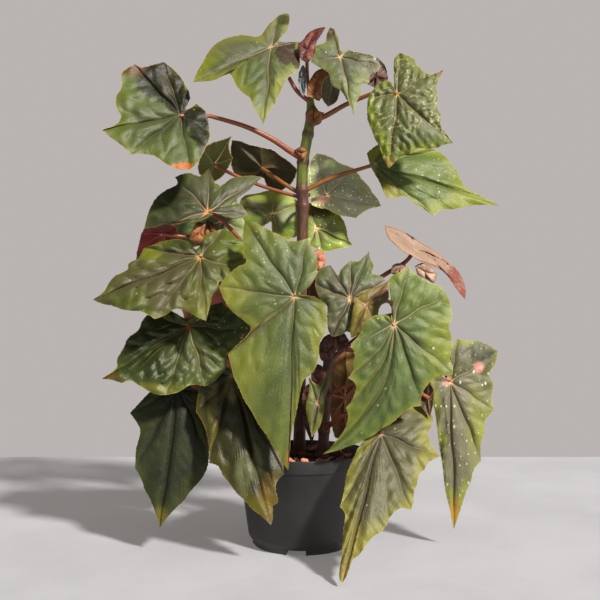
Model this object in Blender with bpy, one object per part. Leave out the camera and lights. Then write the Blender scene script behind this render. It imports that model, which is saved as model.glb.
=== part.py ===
"""A begonia with lobed leaves on three canes, in a black nursery pot: every blade, cane and scrap as a solid.

Lengths in the tables are millimetres; +Z is up, and the origin is the middle of the pot's foot on the floor.
Places on the plant are written (across, up, depth), as on a front elevation drawn in perspective: across
and up are where an eye at EYE sees the point on the upright plane through the pot's axis, and depth is how
far the point lies behind that plane. A leaf keeps its place on the elevation when only its depth changes.
"""

import math
import random

import bmesh
import bpy
from mathutils import Vector

MM = 0.001
UP = Vector((0.0, 0.0, 1.0))
EYE = Vector((-2.0, -885.0, 242.0))

# The pot
POT_RIM_R = 65.0
POT_HEIGHT = 92.0
POT_BAND_H = 12.5
POT_BAND_STEP = 1.3
POT_BODY_FOOT_R = 53.2
POT_FOOT_R = 48.0
POT_FOOT_H = 10.0
FOOT_FLARE = 1.6
EDGE_BEVEL = 1.0
RIM_BEVEL = 0.6
BAND_TAPER = 0.4
POT_WALL = 1.5
POT_SIDES = 48
CHANNEL_COUNT = 4
CHANNEL_W = 19.0
CHANNEL_H = 5.0
CHANNEL_START_R = 20.0
CHANNEL_TURN = math.radians(-97.0)
COVER_FOOT = 0.2
DRAIN_R = 4.0
DRAIN_PLACE_R = 32.0
DRAIN_SIDES = 12

# The soil
SOIL_Z = 84.0
SOIL_LUMP = 1.6
SOIL_EDGE_Z = 78.0
SOIL_FIT = 1.0
SOIL_RINGS = 7
SOIL_SIDES = 30
GAP = 0.35
HOLE_PLACES = 4
HOLE_FIT = 1.0
HOLE_EXTRA = 4.0

# The scraps on the soil
SCRAP_SEED = 5
SCRAP_CORNERS = 7
SCRAP_LEAST = 0.55
SCRAP_CRUMPLE = 1.2
SCRAP_CLEARANCE = 1.2
SCRAP_DOME = 1.5

# The blades
BLADE_T = 0.9
LEAF_RINGS = (0.5, 1.0)
SHEATH_RINGS = (1.0,)
BULGE = 3.5
TOOTH = 1.0
TOOTH_GAP = 15.0
JOINT_GAP = 0.4

# The canes and petioles
CANE_SIDES = 8
PETIOLE_SIDES = 6
PETIOLE_END_R = 1.8
SPAN_STEPS = 3
NODE_SWELL = 1.18


class Blade:
    """One leaf blade: its joint, how its depth leans per mm across and per mm up, and its lobes.

    Each lobe is its tip and then the margin's points up to the next tip, clockwise as seen by the eye. A
    primary vein runs from the joint to each tip. Droop is how much deeper the margin lies than a flat
    blade's, bow is how far the longest vein bends to its left, and top is 1 where the upper side faces the
    eye and -1 where it faces away.
    """

    def __init__(self, joint, lean, droop, bow, top, lobes):
        self.joint = Vector(joint)
        self.lean = Vector(lean)
        self.droop = droop
        self.bow = bow
        self.top = top
        self.lobes = lobes


class Petiole:
    """A leaf stalk: the leaf that it carries, the places that it passes from its cane out, and its radius."""

    def __init__(self, leaf, route, radius):
        self.leaf = leaf
        self.route = route
        self.radius = radius


# The leaves, from the top of the plant down; the last four stand behind it and face away
LEAVES = {
    "leaf_01": Blade(
        (-31, 495, -18), lean=(0.15, 0.75), droop=16, bow=0, top=1,
        lobes=(
            ((-109, 460), (-99, 480), (-88, 497), (-72, 505), (-59, 507), (-43, 506)),
            ((-23, 527), (-13, 528), (-14, 514), (-23, 501)),
            ((-3, 500), (-2, 484), (-3, 473), (-13, 465), (-18, 458), (-23, 447), (-32, 432)),
            ((-39, 418), (-44, 428), (-52, 444), (-66, 457), (-71, 467), (-76, 468), (-88, 462)),
        ),
    ),
    "leaf_02": Blade(
        (38, 485, -30), lean=(-0.1, 0.6), droop=12, bow=0, top=1,
        lobes=(
            ((9, 480), (14, 496), (23, 500)),
            ((28, 515), (34, 510), (39, 492)),
            ((47, 492), (59, 489), (70, 486)),
            ((79, 476), (75, 470), (68, 467), (67, 459), (60, 458), (59, 449), (54, 438)),
            ((52, 427), (46, 440), (39, 451), (30, 457), (26, 469), (17, 475)),
        ),
    ),
    "leaf_03": Blade(
        (95, 448, -38), lean=(-0.2, 0.35), droop=16, bow=0, top=1,
        lobes=(
            ((66, 445), (75, 457), (82, 461), (88, 461), (92, 455), (92, 482)),
            ((98, 489), (105, 487), (112, 483), (116, 476), (123, 470), (131, 468)),
            ((141, 472), (137, 462), (134, 456), (135, 435), (139, 427), (139, 416)),
            ((151, 399), (142, 397), (135, 394), (115, 394), (109, 388), (99, 388)),
            ((87, 374), (82, 382), (77, 396), (70, 411), (66, 421), (65, 433)),
        ),
    ),
    "leaf_04": Blade(
        (72, 378, -8), lean=(0.1, 0.5), droop=18, bow=0, top=1,
        lobes=(
            ((65, 389), (75, 397), (95, 402), (117, 395)),
            ((135, 392), (149, 379), (157, 366), (163, 356), (178, 347)),
            ((197, 337), (181, 337), (165, 336), (140, 332)),
            ((132, 326), (116, 337), (103, 346)),
            ((85, 344), (78, 359), (72, 369), (68, 377)),
        ),
    ),
    "leaf_05": Blade(
        (-122, 427, -30), lean=(0.1, 0.45), droop=-12, bow=0, top=1,
        lobes=(
            ((-200, 412), (-186, 418), (-181, 426), (-186, 434), (-186, 446), (-181, 454), (-181, 468)),
            ((-168, 478), (-160, 475), (-150, 477)),
            ((-138, 480), (-127, 472), (-119, 462), (-113, 450), (-112, 443), (-116, 433)),
            ((-105, 438), (-97, 431), (-93, 418), (-92, 406), (-95, 397), (-101, 385)),
            ((-112, 373), (-126, 373), (-139, 380), (-147, 386), (-158, 388)),
            ((-171, 388), (-181, 397), (-192, 405)),
        ),
    ),
    "leaf_06": Blade(
        (-40, 374, 30), lean=(0.0, -0.6), droop=10, bow=0, top=-1,
        lobes=(
            ((-70, 402), (-54, 398)),
            ((-41, 395), (-29, 392), (-21, 386)),
            ((-5, 373), (-6, 367), (-11, 358)),
            ((-21, 351), (-33, 352), (-40, 364)),
            ((-58, 354), (-69, 370), (-71, 386)),
        ),
    ),
    "leaf_07": Blade(
        (24, 347, 26), lean=(0.0, 0.45), droop=12, bow=0, top=1,
        lobes=(
            ((13, 389), (23, 387), (38, 379)),
            ((52, 374), (61, 362), (71, 349)),
            ((79, 336), (65, 332)),
            ((54, 324), (40, 326), (25, 333)),
            ((10, 337), (8, 352), (7, 372)),
        ),
    ),
    "leaf_08": Blade(
        (14, 314, 24), lean=(0.0, 0.4), droop=8, bow=0, top=1,
        lobes=(
            ((6, 339), (20, 338), (34, 331), (42, 321)),
            ((45, 311), (46, 304)),
            ((50, 297), (35, 293)),
            ((21, 289), (12, 295)),
            ((7, 296), (5, 314)),
        ),
    ),
    "leaf_09": Blade(
        (-30, 328, 46), lean=(0.0, 0.2), droop=8, bow=0, top=1,
        lobes=(
            ((-64, 336), (-58, 346), (-44, 349)),
            ((-26, 352), (-12, 346)),
            ((-1, 339), (-2, 322), (-5, 306)),
            ((-19, 301), (-29, 306), (-32, 320)),
            ((-52, 302), (-61, 316)),
        ),
    ),
    "leaf_10": Blade(
        (-94, 330, -30), lean=(0.05, 0.6), droop=16, bow=0, top=1,
        lobes=(
            ((-158, 313), (-155, 326), (-145, 345), (-136, 352), (-125, 358)),
            ((-127, 365), (-112, 369), (-102, 366)),
            ((-93, 374), (-88, 362), (-83, 355), (-70, 364), (-59, 366)),
            ((-40, 365), (-53, 352), (-64, 344), (-70, 337), (-62, 338)),
            ((-54, 327), (-66, 323), (-77, 325), (-88, 328)),
            ((-107, 320), (-129, 317), (-145, 315)),
        ),
    ),
    "leaf_11": Blade(
        (-102, 285, -52), lean=(0.1, 0.7), droop=20, bow=0, top=1,
        lobes=(
            ((-209, 242), (-198, 251), (-187, 266), (-175, 272), (-173, 279), (-164, 284)),
            ((-158, 294), (-149, 297), (-138, 301), (-124, 303), (-114, 300), (-105, 293), (-97, 306)),
            ((-79, 313), (-71, 310), (-64, 303), (-54, 302), (-53, 291), (-47, 277)),
            ((-42, 265), (-48, 262), (-65, 262), (-74, 259), (-82, 261), (-90, 242)),
            ((-96, 221), (-105, 225), (-114, 230), (-126, 233)),
            ((-147, 223), (-159, 230), (-171, 231), (-189, 236)),
        ),
    ),
    "leaf_12": Blade(
        (-7.5, 245, -88), lean=(0.0, 0.18), droop=22, bow=0, top=1,
        lobes=(
            ((-74, 188), (-52, 211), (-58, 221), (-74, 236)),
            ((-83, 255), (-73, 268), (-56, 280), (-59, 302)),
            ((-57, 321), (-48, 320), (-38, 315), (-31, 311), (-22, 307), (-13, 302), (-5, 301)),
            ((6, 304), (9, 296), (15, 286), (15, 274), (14, 266), (8, 256), (-1, 248), (13, 245)),
            ((24, 238), (25, 224), (24, 211), (18, 200), (14, 175), (1, 160), (-5, 133), (-11, 104)),
            ((-14, 72), (-24, 89), (-35, 106), (-51, 131), (-64, 156), (-71, 175)),
        ),
    ),
    "leaf_13": Blade(
        (-113, 216, -44), lean=(0.05, 0.5), droop=16, bow=0, top=1,
        lobes=(
            ((-200, 163), (-186, 174), (-185, 183), (-178, 195), (-174, 204), (-164, 212), (-160, 221)),
            ((-155, 227), (-146, 227), (-130, 231), (-116, 224), (-94, 236)),
            ((-80, 240), (-69, 230), (-57, 222)),
            ((-48, 210), (-56, 208), (-62, 200), (-75, 187), (-75, 176), (-83, 165)),
            ((-97, 156), (-111, 157), (-123, 150)),
            ((-136, 147), (-152, 150), (-164, 157), (-171, 161)),
            ((-181, 159), (-190, 162)),
        ),
    ),
    "leaf_14": Blade(
        (-124, 154, -34), lean=(0.0, 0.22), droop=18, bow=0, top=1,
        lobes=(
            ((-142, 15), (-151, 41), (-161, 63)),
            ((-167, 74), (-166, 92), (-162, 109), (-164, 117)),
            ((-172, 129), (-160, 142), (-151, 151), (-137, 157), (-123, 160)),
            ((-102, 150), (-104, 137), (-103, 124), (-96, 111)),
            ((-93, 87), (-94, 77), (-102, 61), (-112, 50), (-125, 35), (-135, 24)),
        ),
    ),
    "leaf_15": Blade(
        (-70, 167, -52), lean=(0.0, 0.3), droop=9, bow=0, top=1,
        lobes=(
            ((-31, 17), (-41, 26), (-57, 41), (-73, 59), (-84, 76)),
            ((-93, 79), (-93, 92), (-95, 107), (-100, 121)),
            ((-106, 130), (-102, 156)),
            ((-95, 170), (-77, 176), (-70, 173), (-54, 168)),
            ((-40, 152), (-30, 127), (-21, 97)),
            ((-18, 68), (-25, 60), (-26, 52), (-24, 40), (-29, 36), (-29, 24)),
        ),
    ),
    "leaf_16": Blade(
        (92, 218, -82), lean=(0.0, 0.12), droop=22, bow=20, top=1,
        lobes=(
            ((21, 88), (28, 94), (39, 107), (44, 116), (46, 126)),
            ((44, 134), (51, 144), (54, 157)),
            ((46, 164), (51, 172), (53, 187)),
            ((49, 198), (60, 211), (61, 218), (74, 227), (85, 227), (89, 224), (89, 242), (88, 253),
             (88, 264), (99, 271)),
            ((106, 276), (115, 267), (127, 260), (138, 256)),
            ((145, 248), (150, 225), (147, 215), (150, 197), (148, 184)),
            ((151, 168), (135, 166), (127, 159), (120, 148)),
            ((119, 136), (108, 134), (99, 127), (90, 119), (81, 114), (64, 103), (47, 96)),
        ),
    ),
    "leaf_17": Blade(
        (48, 243, -48), lean=(0.0, 0.35), droop=12, bow=0, top=1,
        lobes=(
            ((30, 205), (26, 212), (25, 224), (25, 236), (19, 241)),
            ((13, 258), (14, 266), (18, 273)),
            ((28, 277), (36, 267), (39, 273)),
            ((49, 282), (57, 281)),
            ((67, 291), (69, 283), (72, 277), (70, 269)),
            ((84, 262), (74, 256), (62, 249), (53, 243)),
            ((52, 217), (41, 208)),
        ),
    ),
    "leaf_18": Blade(
        (64, 237, -58), lean=(0.1, 0.3), droop=6, bow=0, top=1,
        lobes=(
            ((87, 262), (87, 251), (86, 242), (78, 235)),
            ((72, 220), (62, 212)),
            ((49, 204), (49, 220), (51, 234)),
            ((54, 244), (64, 251), (75, 256)),
        ),
    ),
    "leaf_19": Blade(
        (148, 160, -20), lean=(0.1, 0.1), droop=16, bow=0, top=1,
        lobes=(
            ((152, 13), (148, 31), (143, 54), (140, 78), (137, 98), (133, 129), (131, 148)),
            ((128, 161), (136, 167), (145, 165), (150, 195)),
            ((156, 203), (167, 202), (182, 199)),
            ((196, 191), (194, 180), (187, 168), (191, 158), (190, 145)),
            ((192, 132), (183, 121), (179, 98)),
            ((179, 81), (172, 72), (164, 49), (156, 25)),
        ),
    ),
    "leaf_20": Blade(
        (79, 108, -72), lean=(0.0, 0.55), droop=12, bow=0, top=1,
        lobes=(
            ((40, -41), (37, -34), (40, -9), (41, 9), (43, 27)),
            ((38, 35), (42, 51), (45, 69)),
            ((55, 92), (64, 105), (78, 115), (92, 130)),
            ((110, 143), (120, 135), (131, 124), (126, 108), (131, 96)),
            ((138, 86), (127, 80), (117, 67), (112, 50)),
            ((109, 32), (99, 34), (89, 26), (80, 11), (71, 5), (63, -5), (50, -19), (45, -33)),
        ),
    ),
    "leaf_21": Blade(
        (114, 292, -14), lean=(1.9, 2.1), droop=4, bow=10, top=1,
        lobes=(
            ((83, 317), (97, 312), (108, 307), (119, 299)),
            ((132, 292), (145, 282), (154, 273), (161, 262), (164, 252)),
            ((163, 243), (157, 250), (148, 263), (139, 272)),
            ((125, 279), (110, 286), (96, 295), (86, 305)),
        ),
    ),
    "leaf_22": Blade(
        (15, 139, -46), lean=(0.0, 0.2), droop=2, bow=0, top=1,
        lobes=(
            ((7, 165), (16, 158)),
            ((28, 173), (27, 158), (23, 144)),
            ((22, 130), (18, 116)),
            ((10, 105), (6, 122), (4, 138), (7, 150)),
        ),
    ),
    "leaf_23": Blade(
        (126, 144, -62), lean=(0.0, 0.2), droop=1, bow=0, top=-1,
        lobes=(
            ((121, 157), (128, 158)),
            ((132, 151), (131, 138)),
            ((128, 124), (122, 132), (118, 142)),
        ),
    ),
    "leaf_24": Blade(
        (43, 144, 8), lean=(0.0, 0.05), droop=1, bow=0, top=-1,
        lobes=(
            ((28, 164), (29, 180), (36, 192)),
            ((46, 195), (55, 186)),
            ((59, 162), (56, 138), (54, 118)),
            ((44, 102), (34, 104)),
            ((29, 122), (27, 144)),
        ),
    ),
    "leaf_25": Blade(
        (-88, 377, 22), lean=(0.0, -0.4), droop=3, bow=0, top=-1,
        lobes=(
            ((-99, 394), (-90, 399), (-80, 402)),
            ((-70, 406), (-73, 398), (-72, 390)),
            ((-69, 384), (-74, 374), (-79, 366)),
            ((-94, 358), (-104, 372)),
        ),
    ),
    "leaf_26": Blade(
        (-138, 308, -18), lean=(0.0, -0.5), droop=2, bow=0, top=-1,
        lobes=(
            ((-161, 308), (-155, 316), (-142, 320)),
            ((-126, 316), (-124, 304)),
            ((-134, 290), (-148, 281), (-165, 280)),
            ((-164, 295),),
        ),
    ),
    "leaf_31": Blade(
        (-82, 320, 34), lean=(0.0, 0.3), droop=6, bow=0, top=1,
        lobes=(
            ((-130, 308), (-124, 326), (-112, 342)),
            ((-98, 352), (-86, 358)),
            ((-74, 352), (-66, 344), (-62, 330)),
            ((-56, 312), (-62, 296)),
            ((-80, 292), (-102, 296), (-118, 292)),
        ),
    ),
    "leaf_27": Blade(
        (-70, 280, 62), lean=(0.0, -0.55), droop=-18, bow=0, top=-1,
        lobes=(
            ((-88, 164), (-99, 190), (-106, 212)),
            ((-118, 224), (-122, 246)),
            ((-120, 270), (-106, 288), (-88, 296), (-72, 286)),
            ((-52, 294), (-40, 274), (-36, 250)),
            ((-40, 224), (-54, 202), (-72, 182)),
        ),
    ),
    "leaf_28": Blade(
        (98, 224, 58), lean=(0.0, -0.5), droop=-18, bow=0, top=-1,
        lobes=(
            ((116, 118), (96, 138), (82, 158)),
            ((66, 170), (62, 190)),
            ((64, 212), (76, 224), (94, 230), (110, 236)),
            ((122, 228), (134, 210), (138, 190)),
            ((140, 166), (132, 146), (124, 132)),
        ),
    ),
    "leaf_29": Blade(
        (2, 280, 72), lean=(0.0, -0.5), droop=-18, bow=0, top=-1,
        lobes=(
            ((-2, 166), (-18, 190), (-30, 212)),
            ((-44, 224), (-48, 246)),
            ((-40, 272), (-26, 288), (-10, 292), (2, 285), (14, 280)),
            ((14, 264), (20, 236), (20, 212)),
            ((16, 196), (8, 180)),
        ),
    ),
    "leaf_30": Blade(
        (-80, 190, 66), lean=(0.0, -0.35), droop=-16, bow=0, top=-1,
        lobes=(
            ((-124, 68), (-138, 94), (-144, 118)),
            ((-150, 138), (-142, 160)),
            ((-130, 180), (-110, 192), (-90, 196), (-72, 198)),
            ((-50, 180), (-40, 154), (-44, 130)),
            ((-58, 118), (-80, 102), (-104, 84)),
        ),
    ),
}

# Dry sheaths, a curled leaf and papery scraps, which cling to the canes and petioles
SHEATHS = {
    "apex_sheath": Blade(
        (12, 448, -18), lean=(0.0, 0.1), droop=-3, bow=0, top=1,
        lobes=(
            ((21, 474), (29, 467), (26, 452)),
            ((17, 441),),
            ((5, 446), (6, 458), (13, 470)),
        ),
    ),
    "node_sheath_1": Blade(
        (11, 422, -10), lean=(0.0, 0.0), droop=3, bow=0, top=1,
        lobes=(
            ((12, 438), (17, 431)),
            ((22, 430), (19, 419)),
            ((10, 415), (4, 421), (6, 430)),
        ),
    ),
    "node_sheath_2": Blade(
        (-1, 389, -6), lean=(0.0, 0.0), droop=2, bow=0, top=1,
        lobes=(
            ((-8, 392), (-1, 395)),
            ((6, 391), (1, 382)),
        ),
    ),
    "curled_leaf": Blade(
        (5, 492, -24), lean=(0.0, 0.4), droop=4, bow=0, top=1,
        lobes=(
            ((-4, 499), (1, 502), (6, 509)),
            ((13, 513), (23, 515), (19, 507), (15, 501)),
            ((13, 491), (7, 480)),
            ((-1, 482), (-4, 490)),
        ),
    ),
    "apex_strip": Blade(
        (1, 463, -15), lean=(0.0, 0.0), droop=1, bow=0, top=-1,
        lobes=(
            ((-3, 470), (1, 477)),
            ((4, 472), (4, 460)),
            ((2, 445), (-2, 450)),
            ((-4, 462),),
        ),
    ),
    "curl_sheath": Blade(
        (75, 466, -20), lean=(0.0, 0.2), droop=3, bow=0, top=-1,
        lobes=(
            ((65, 458), (68, 466), (72, 476)),
            ((75, 485), (83, 476)),
            ((86, 464), (82, 456)),
            ((73, 454),),
        ),
    ),
    "young_leaf": Blade(
        (30, 458, -25), lean=(0.0, -0.2), droop=2, bow=0, top=-1,
        lobes=(
            ((25, 466), (36, 464)),
            ((38, 450), (34, 440)),
            ((26, 435), (20, 444), (20, 458)),
        ),
    ),
    "petiole_scrap_1": Blade(
        (123, 270, -26), lean=(0.0, 0.3), droop=2, bow=0, top=1,
        lobes=(
            ((113, 276), (120, 279), (129, 276)),
            ((135, 268), (132, 259)),
            ((124, 263), (116, 267)),
        ),
    ),
    "petiole_scrap_2": Blade(
        (97, 273, -24), lean=(0.0, 0.3), droop=2, bow=0, top=1,
        lobes=(
            ((89, 269), (90, 276), (96, 279)),
            ((104, 277), (102, 268)),
            ((96, 265),),
        ),
    ),
    "petiole_scrap_3": Blade(
        (16, 281, -2), lean=(0.2, 0.2), droop=2, bow=0, top=1,
        lobes=(
            ((8, 286), (14, 292), (22, 289)),
            ((24, 280), (20, 272)),
            ((12, 271), (7, 278)),
        ),
    ),
    "left_sheath_1": Blade(
        (-102, 310, -28), lean=(0.1, 0.2), droop=3, bow=0, top=1,
        lobes=(
            ((-113, 302), (-110, 311), (-105, 320)),
            ((-96, 318), (-98, 309)),
            ((-96, 301), (-104, 297)),
        ),
    ),
    "left_sheath_2": Blade(
        (-92, 310, -18), lean=(-0.1, 0.2), droop=3, bow=0, top=1,
        lobes=(
            ((-95, 322), (-88, 318)),
            ((-85, 308), (-89, 299)),
            ((-97, 302), (-98, 312)),
        ),
    ),
    "right_sheath_1": Blade(
        (25, 190, -28), lean=(0.1, 0.1), droop=3, bow=0, top=1,
        lobes=(
            ((16, 194), (21, 204), (29, 208)),
            ((36, 201), (34, 190)),
            ((28, 180), (19, 182)),
        ),
    ),
    "right_sheath_2": Blade(
        (37, 199, -42), lean=(0.1, 0.1), droop=3, bow=0, top=1,
        lobes=(
            ((34, 208), (41, 210)),
            ((47, 202), (44, 192)),
            ((38, 188), (32, 196)),
        ),
    ),
    "right_sheath_3": Blade(
        (17, 162, -19), lean=(-0.1, 0.1), droop=2, bow=0, top=1,
        lobes=(
            ((9, 169), (15, 178), (23, 172)),
            ((24, 160), (21, 150)),
            ((12, 152),),
        ),
    ),
    "right_sheath_4": Blade(
        (10, 142, -14), lean=(0.1, 0.1), droop=3, bow=0, top=1,
        lobes=(
            ((1, 150), (6, 158), (14, 154)),
            ((16, 140), (15, 118)),
            ((10, 98), (4, 112)),
            ((0, 133),),
        ),
    ),
}

# The canes: the middle line from the root up, as (across, up, depth, radius), and the petioles on it
CANES = {
    "cane_main": (
        ((-4, 44, 14, 6.4), (-3, 84, 13, 6.4), (-2, 135, 12, 6.0), (-2, 180, 12, 6.0), (-1, 240, 11, 5.8),
         (0, 290, 10, 5.6), (1, 335, 8, 5.6), (0, 352, 6, 5.8), (1, 380, 4, 5.5), (6, 408, 2, 5.2),
         (9, 428, 0, 4.8), (8, 444, -2, 3.4)),
        (
            Petiole("leaf_01", ((8, 440, -2), (-5, 451, -7), (-14, 466, -10)), 2.4),
            Petiole("leaf_02", ((8, 442, -2), (18, 456, -6), (30, 470, -14)), 2.2),
            Petiole("leaf_03", ((9, 424, 0), (21, 425, -3), (45, 438, -8), (69, 448, -18)), 3.0),
            Petiole("leaf_04", ((1, 350, 6), (18, 359, 6), (38, 367, 4), (58, 373, 1)), 2.5),
            Petiole(
                "leaf_05",
                ((1, 383, 4), (-12, 391, -2), (-32, 404, -10), (-58, 416, -17), (-92, 426, -18)),
                3.4,
            ),
            Petiole("leaf_06", ((0, 347, 7), (-19, 359, 13), (-31, 368, 20)), 2.2),
            Petiole("leaf_07", ((0, 340, 9), (3, 345, 27), (13, 349, 36)), 2.0),
            Petiole("leaf_08", ((0, 288, 10), (3, 286, 24), (9, 298, 31)), 1.9),
            Petiole("leaf_09", ((0, 286, 10), (-10, 281, 34), (-24, 300, 56)), 2.0),
            Petiole("leaf_12", ((-2, 262, 11), (-6, 268, -20), (-8, 260, -58)), 2.8),
            Petiole("leaf_25", ((0, 344, 7), (-40, 356, 10), (-70, 368, 12)), 1.8),
            Petiole("leaf_29", ((-1, 262, 11), (2, 270, 40)), 2.4),
            Petiole("curled_leaf", ((8, 442, -2), (6, 458, -3), (5, 474, -8)), 1.7),
        ),
    ),
    "cane_right": (
        ((20, 44, -6, 5.6), (21, 84, -6, 5.6), (22, 112, -7, 5.4), (24, 145, -8, 5.2), (27, 185, -10, 5.0),
         (36, 215, -14, 4.6), (46, 240, -18, 3.8)),
        (
            Petiole("leaf_16", ((30, 198, -11), (52, 192, -40), (76, 203, -62)), 2.8),
            Petiole("leaf_17", ((42, 230, -16), (46, 238, -30)), 2.1),
            Petiole("leaf_18", ((37, 216, -14), (56, 210, -38), (62, 222, -54)), 1.9),
            Petiole("leaf_19", ((26, 180, -10), (70, 212, -18), (110, 208, -6), (136, 184, -2)), 2.7),
            Petiole("leaf_20", ((22, 112, -7), (42, 127, -36), (62, 126, -50)), 2.6),
            Petiole("leaf_21", ((45, 238, -18), (78, 264, -14), (102, 279, -12), (110, 288, -13)), 2.5),
            Petiole("leaf_22", ((22, 118, -7), (18, 124, -26)), 1.8),
            Petiole("leaf_23", ((24, 146, -8), (56, 160, -42), (98, 164, -72)), 1.8),
            Petiole("leaf_24", ((25, 148, -8), (34, 146, 2)), 1.9),
            Petiole("leaf_28", ((40, 226, -15), (64, 244, 16), (88, 240, 38)), 2.5),
        ),
    ),
    "cane_left": (
        ((-20, 44, 4, 5.4), (-22, 84, 4, 5.4), (-26, 120, 3, 5.2), (-32, 165, 1, 5.0), (-41, 220, -2, 4.8),
         (-52, 275, -4, 4.4), (-61, 302, -6, 3.6)),
        (
            Petiole("leaf_10", ((-60, 299, -6), (-66, 307, -11), (-80, 322, -16)), 2.4),
            Petiole("leaf_11", ((-55, 284, -5), (-76, 284, -24), (-92, 284, -38)), 2.6),
            Petiole("leaf_13", ((-44, 232, -3), (-76, 226, -20), (-98, 221, -30)), 2.5),
            Petiole("leaf_14", ((-34, 176, 1), (-78, 184, -6), (-112, 172, -16)), 2.5),
            Petiole("leaf_15", ((-33, 168, 1), (-50, 178, -26), (-62, 174, -44)), 2.5),
            Petiole("leaf_26", ((-60, 300, -6), (-100, 304, -14), (-124, 306, -24)), 1.6),
            Petiole("leaf_31", ((-60, 297, -6), (-67, 287, 12), (-76, 284, 34), (-84, 297, 43)), 2.2),
            Petiole("leaf_27", ((-56, 286, -5), (-64, 288, 30)), 2.4),
            Petiole("leaf_30", ((-38, 202, 0), (-55, 214, 32), (-70, 206, 52)), 2.4),
        ),
    ),
}

# Dry scraps that lie on the soil: place (x, y), size, turn in degrees and tilt
SCRAPS = (
    ((22, -43), 10, 20, 0.30),
    ((6, -52), 9, 140, -0.20),
    ((33, -36), 9, 250, 0.25),
    ((-14, -46), 8, 60, 0.20),
    ((44, 8), 10, 320, -0.25),
    ((-40, 22), 11, 110, 0.20),
    ((10, 44), 10, 200, 0.20),
)


def material(name, colour, roughness):
    made = bpy.data.materials.new(name)
    made.use_nodes = True
    shader = made.node_tree.nodes["Principled BSDF"]
    shader.inputs["Base Color"].default_value = (*colour, 1.0)
    shader.inputs["Roughness"].default_value = roughness
    shader.inputs["Metallic"].default_value = 0.0
    return made


def add_object(name, mesh_data, finish=None):
    made = bpy.data.objects.new(name, mesh_data)
    bpy.context.scene.collection.objects.link(made)
    if finish:
        made.data.materials.append(finish)
    return made


def object_from(name, points, faces, finish=None):
    """An object of these points, in millimetres, with its faces turned to point outwards."""
    shape = bmesh.new()
    corners = [shape.verts.new(Vector(point) * MM) for point in points]
    for face in faces:
        shape.faces.new([corners[index] for index in face])
    bmesh.ops.recalc_face_normals(shape, faces=shape.faces)
    data = bpy.data.meshes.new(name)
    shape.to_mesh(data)
    shape.free()
    return add_object(name, data, finish)


def clear_scene():
    for old in list(bpy.data.objects):
        bpy.data.objects.remove(old, do_unlink=True)


def as_group(name, members):
    """A collection of helper objects, kept out of the render."""
    group = bpy.data.collections.new(name)
    for member in members:
        for holder in list(member.users_collection):
            holder.objects.unlink(member)
        group.objects.link(member)
        member.hide_render = True
        member.display_type = "WIRE"
    bpy.context.scene.collection.children.link(group)
    return group


def combine(target, members, operation, solver="EXACT"):
    """Joins these objects to the target, or cuts them from it, applies the result and removes them."""
    group = as_group(target.name + "_" + operation.lower(), members)
    step = target.modifiers.new("combine", "BOOLEAN")
    step.operation = operation
    step.operand_type = "COLLECTION"
    step.collection = group
    step.solver = solver
    graph = bpy.context.evaluated_depsgraph_get()
    result = bpy.data.meshes.new_from_object(target.evaluated_get(graph))
    target.modifiers.clear()
    target.data = result
    for member in members:
        bpy.data.objects.remove(member, do_unlink=True)
    bpy.data.collections.remove(group)


def to_space(across, up, depth):
    """The point, in millimetres, that the eye sees at this place on the elevation, this far behind it."""
    reach = (depth - EYE.y) / -EYE.y
    return Vector((EYE.x + reach * (across - EYE.x), depth, EYE.z + reach * (up - EYE.z)))


def margin_of(blade):
    """The margin as (place, phase): phase runs from 0 at a lobe's tip to 1 at the next one."""
    marks = []
    for lobe in blade.lobes:
        for index, place in enumerate(lobe):
            marks.append((Vector(place), index / len(lobe)))
    centre = blade.joint.xy
    full = []
    for index, (place, phase) in enumerate(marks):
        full.append((place, phase))
        after, after_phase = marks[(index + 1) % len(marks)]
        along = after - place
        middle = (place + after) / 2
        outward = Vector((-along.y, along.x)).normalized()
        faces_out = outward.dot((middle - centre).normalized())
        if along.length > TOOTH_GAP and faces_out > 0.5:
            between = (phase + (after_phase or 1.0)) / 2
            full.append((middle + outward * TOOTH, between))
    return full


def blade_point(blade, place, phase, share):
    """The point of the blade at this share of the way from its joint to a place on its margin."""
    centre = blade.joint.xy
    tips = [Vector(lobe[0]) - centre for lobe in blade.lobes]
    longest = max(tips, key=lambda tip: tip.length)
    axis = longest.normalized()
    side = Vector((-axis.y, axis.x))
    along = min(max((place - centre).dot(axis) / longest.length, 0.0), 1.0)
    straight = place - side * blade.bow * 4 * along * (1 - along)
    reached = along * share
    spot = centre + (straight - centre) * share + side * blade.bow * 4 * reached * (1 - reached)
    size = (place - centre).length / longest.length
    reach = (spot - centre).length / longest.length
    relief = BULGE * size * math.sin(math.pi * phase) * 4 * share * (1 - share)
    depth = blade.joint.z + blade.lean.dot(spot - centre) + blade.droop * reach**2 - blade.top * relief
    return to_space(spot.x, spot.y, depth)


def blade_normal(blade):
    """The blade's mean normal, on the eye's side."""
    points = [blade_point(blade, place, phase, 1.0) for place, phase in margin_of(blade)]
    total = Vector((0.0, 0.0, 0.0))
    for index, point in enumerate(points):
        total += point.cross(points[(index + 1) % len(points)])
    total.normalize()
    return total if total.y < 0 else -total


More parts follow.
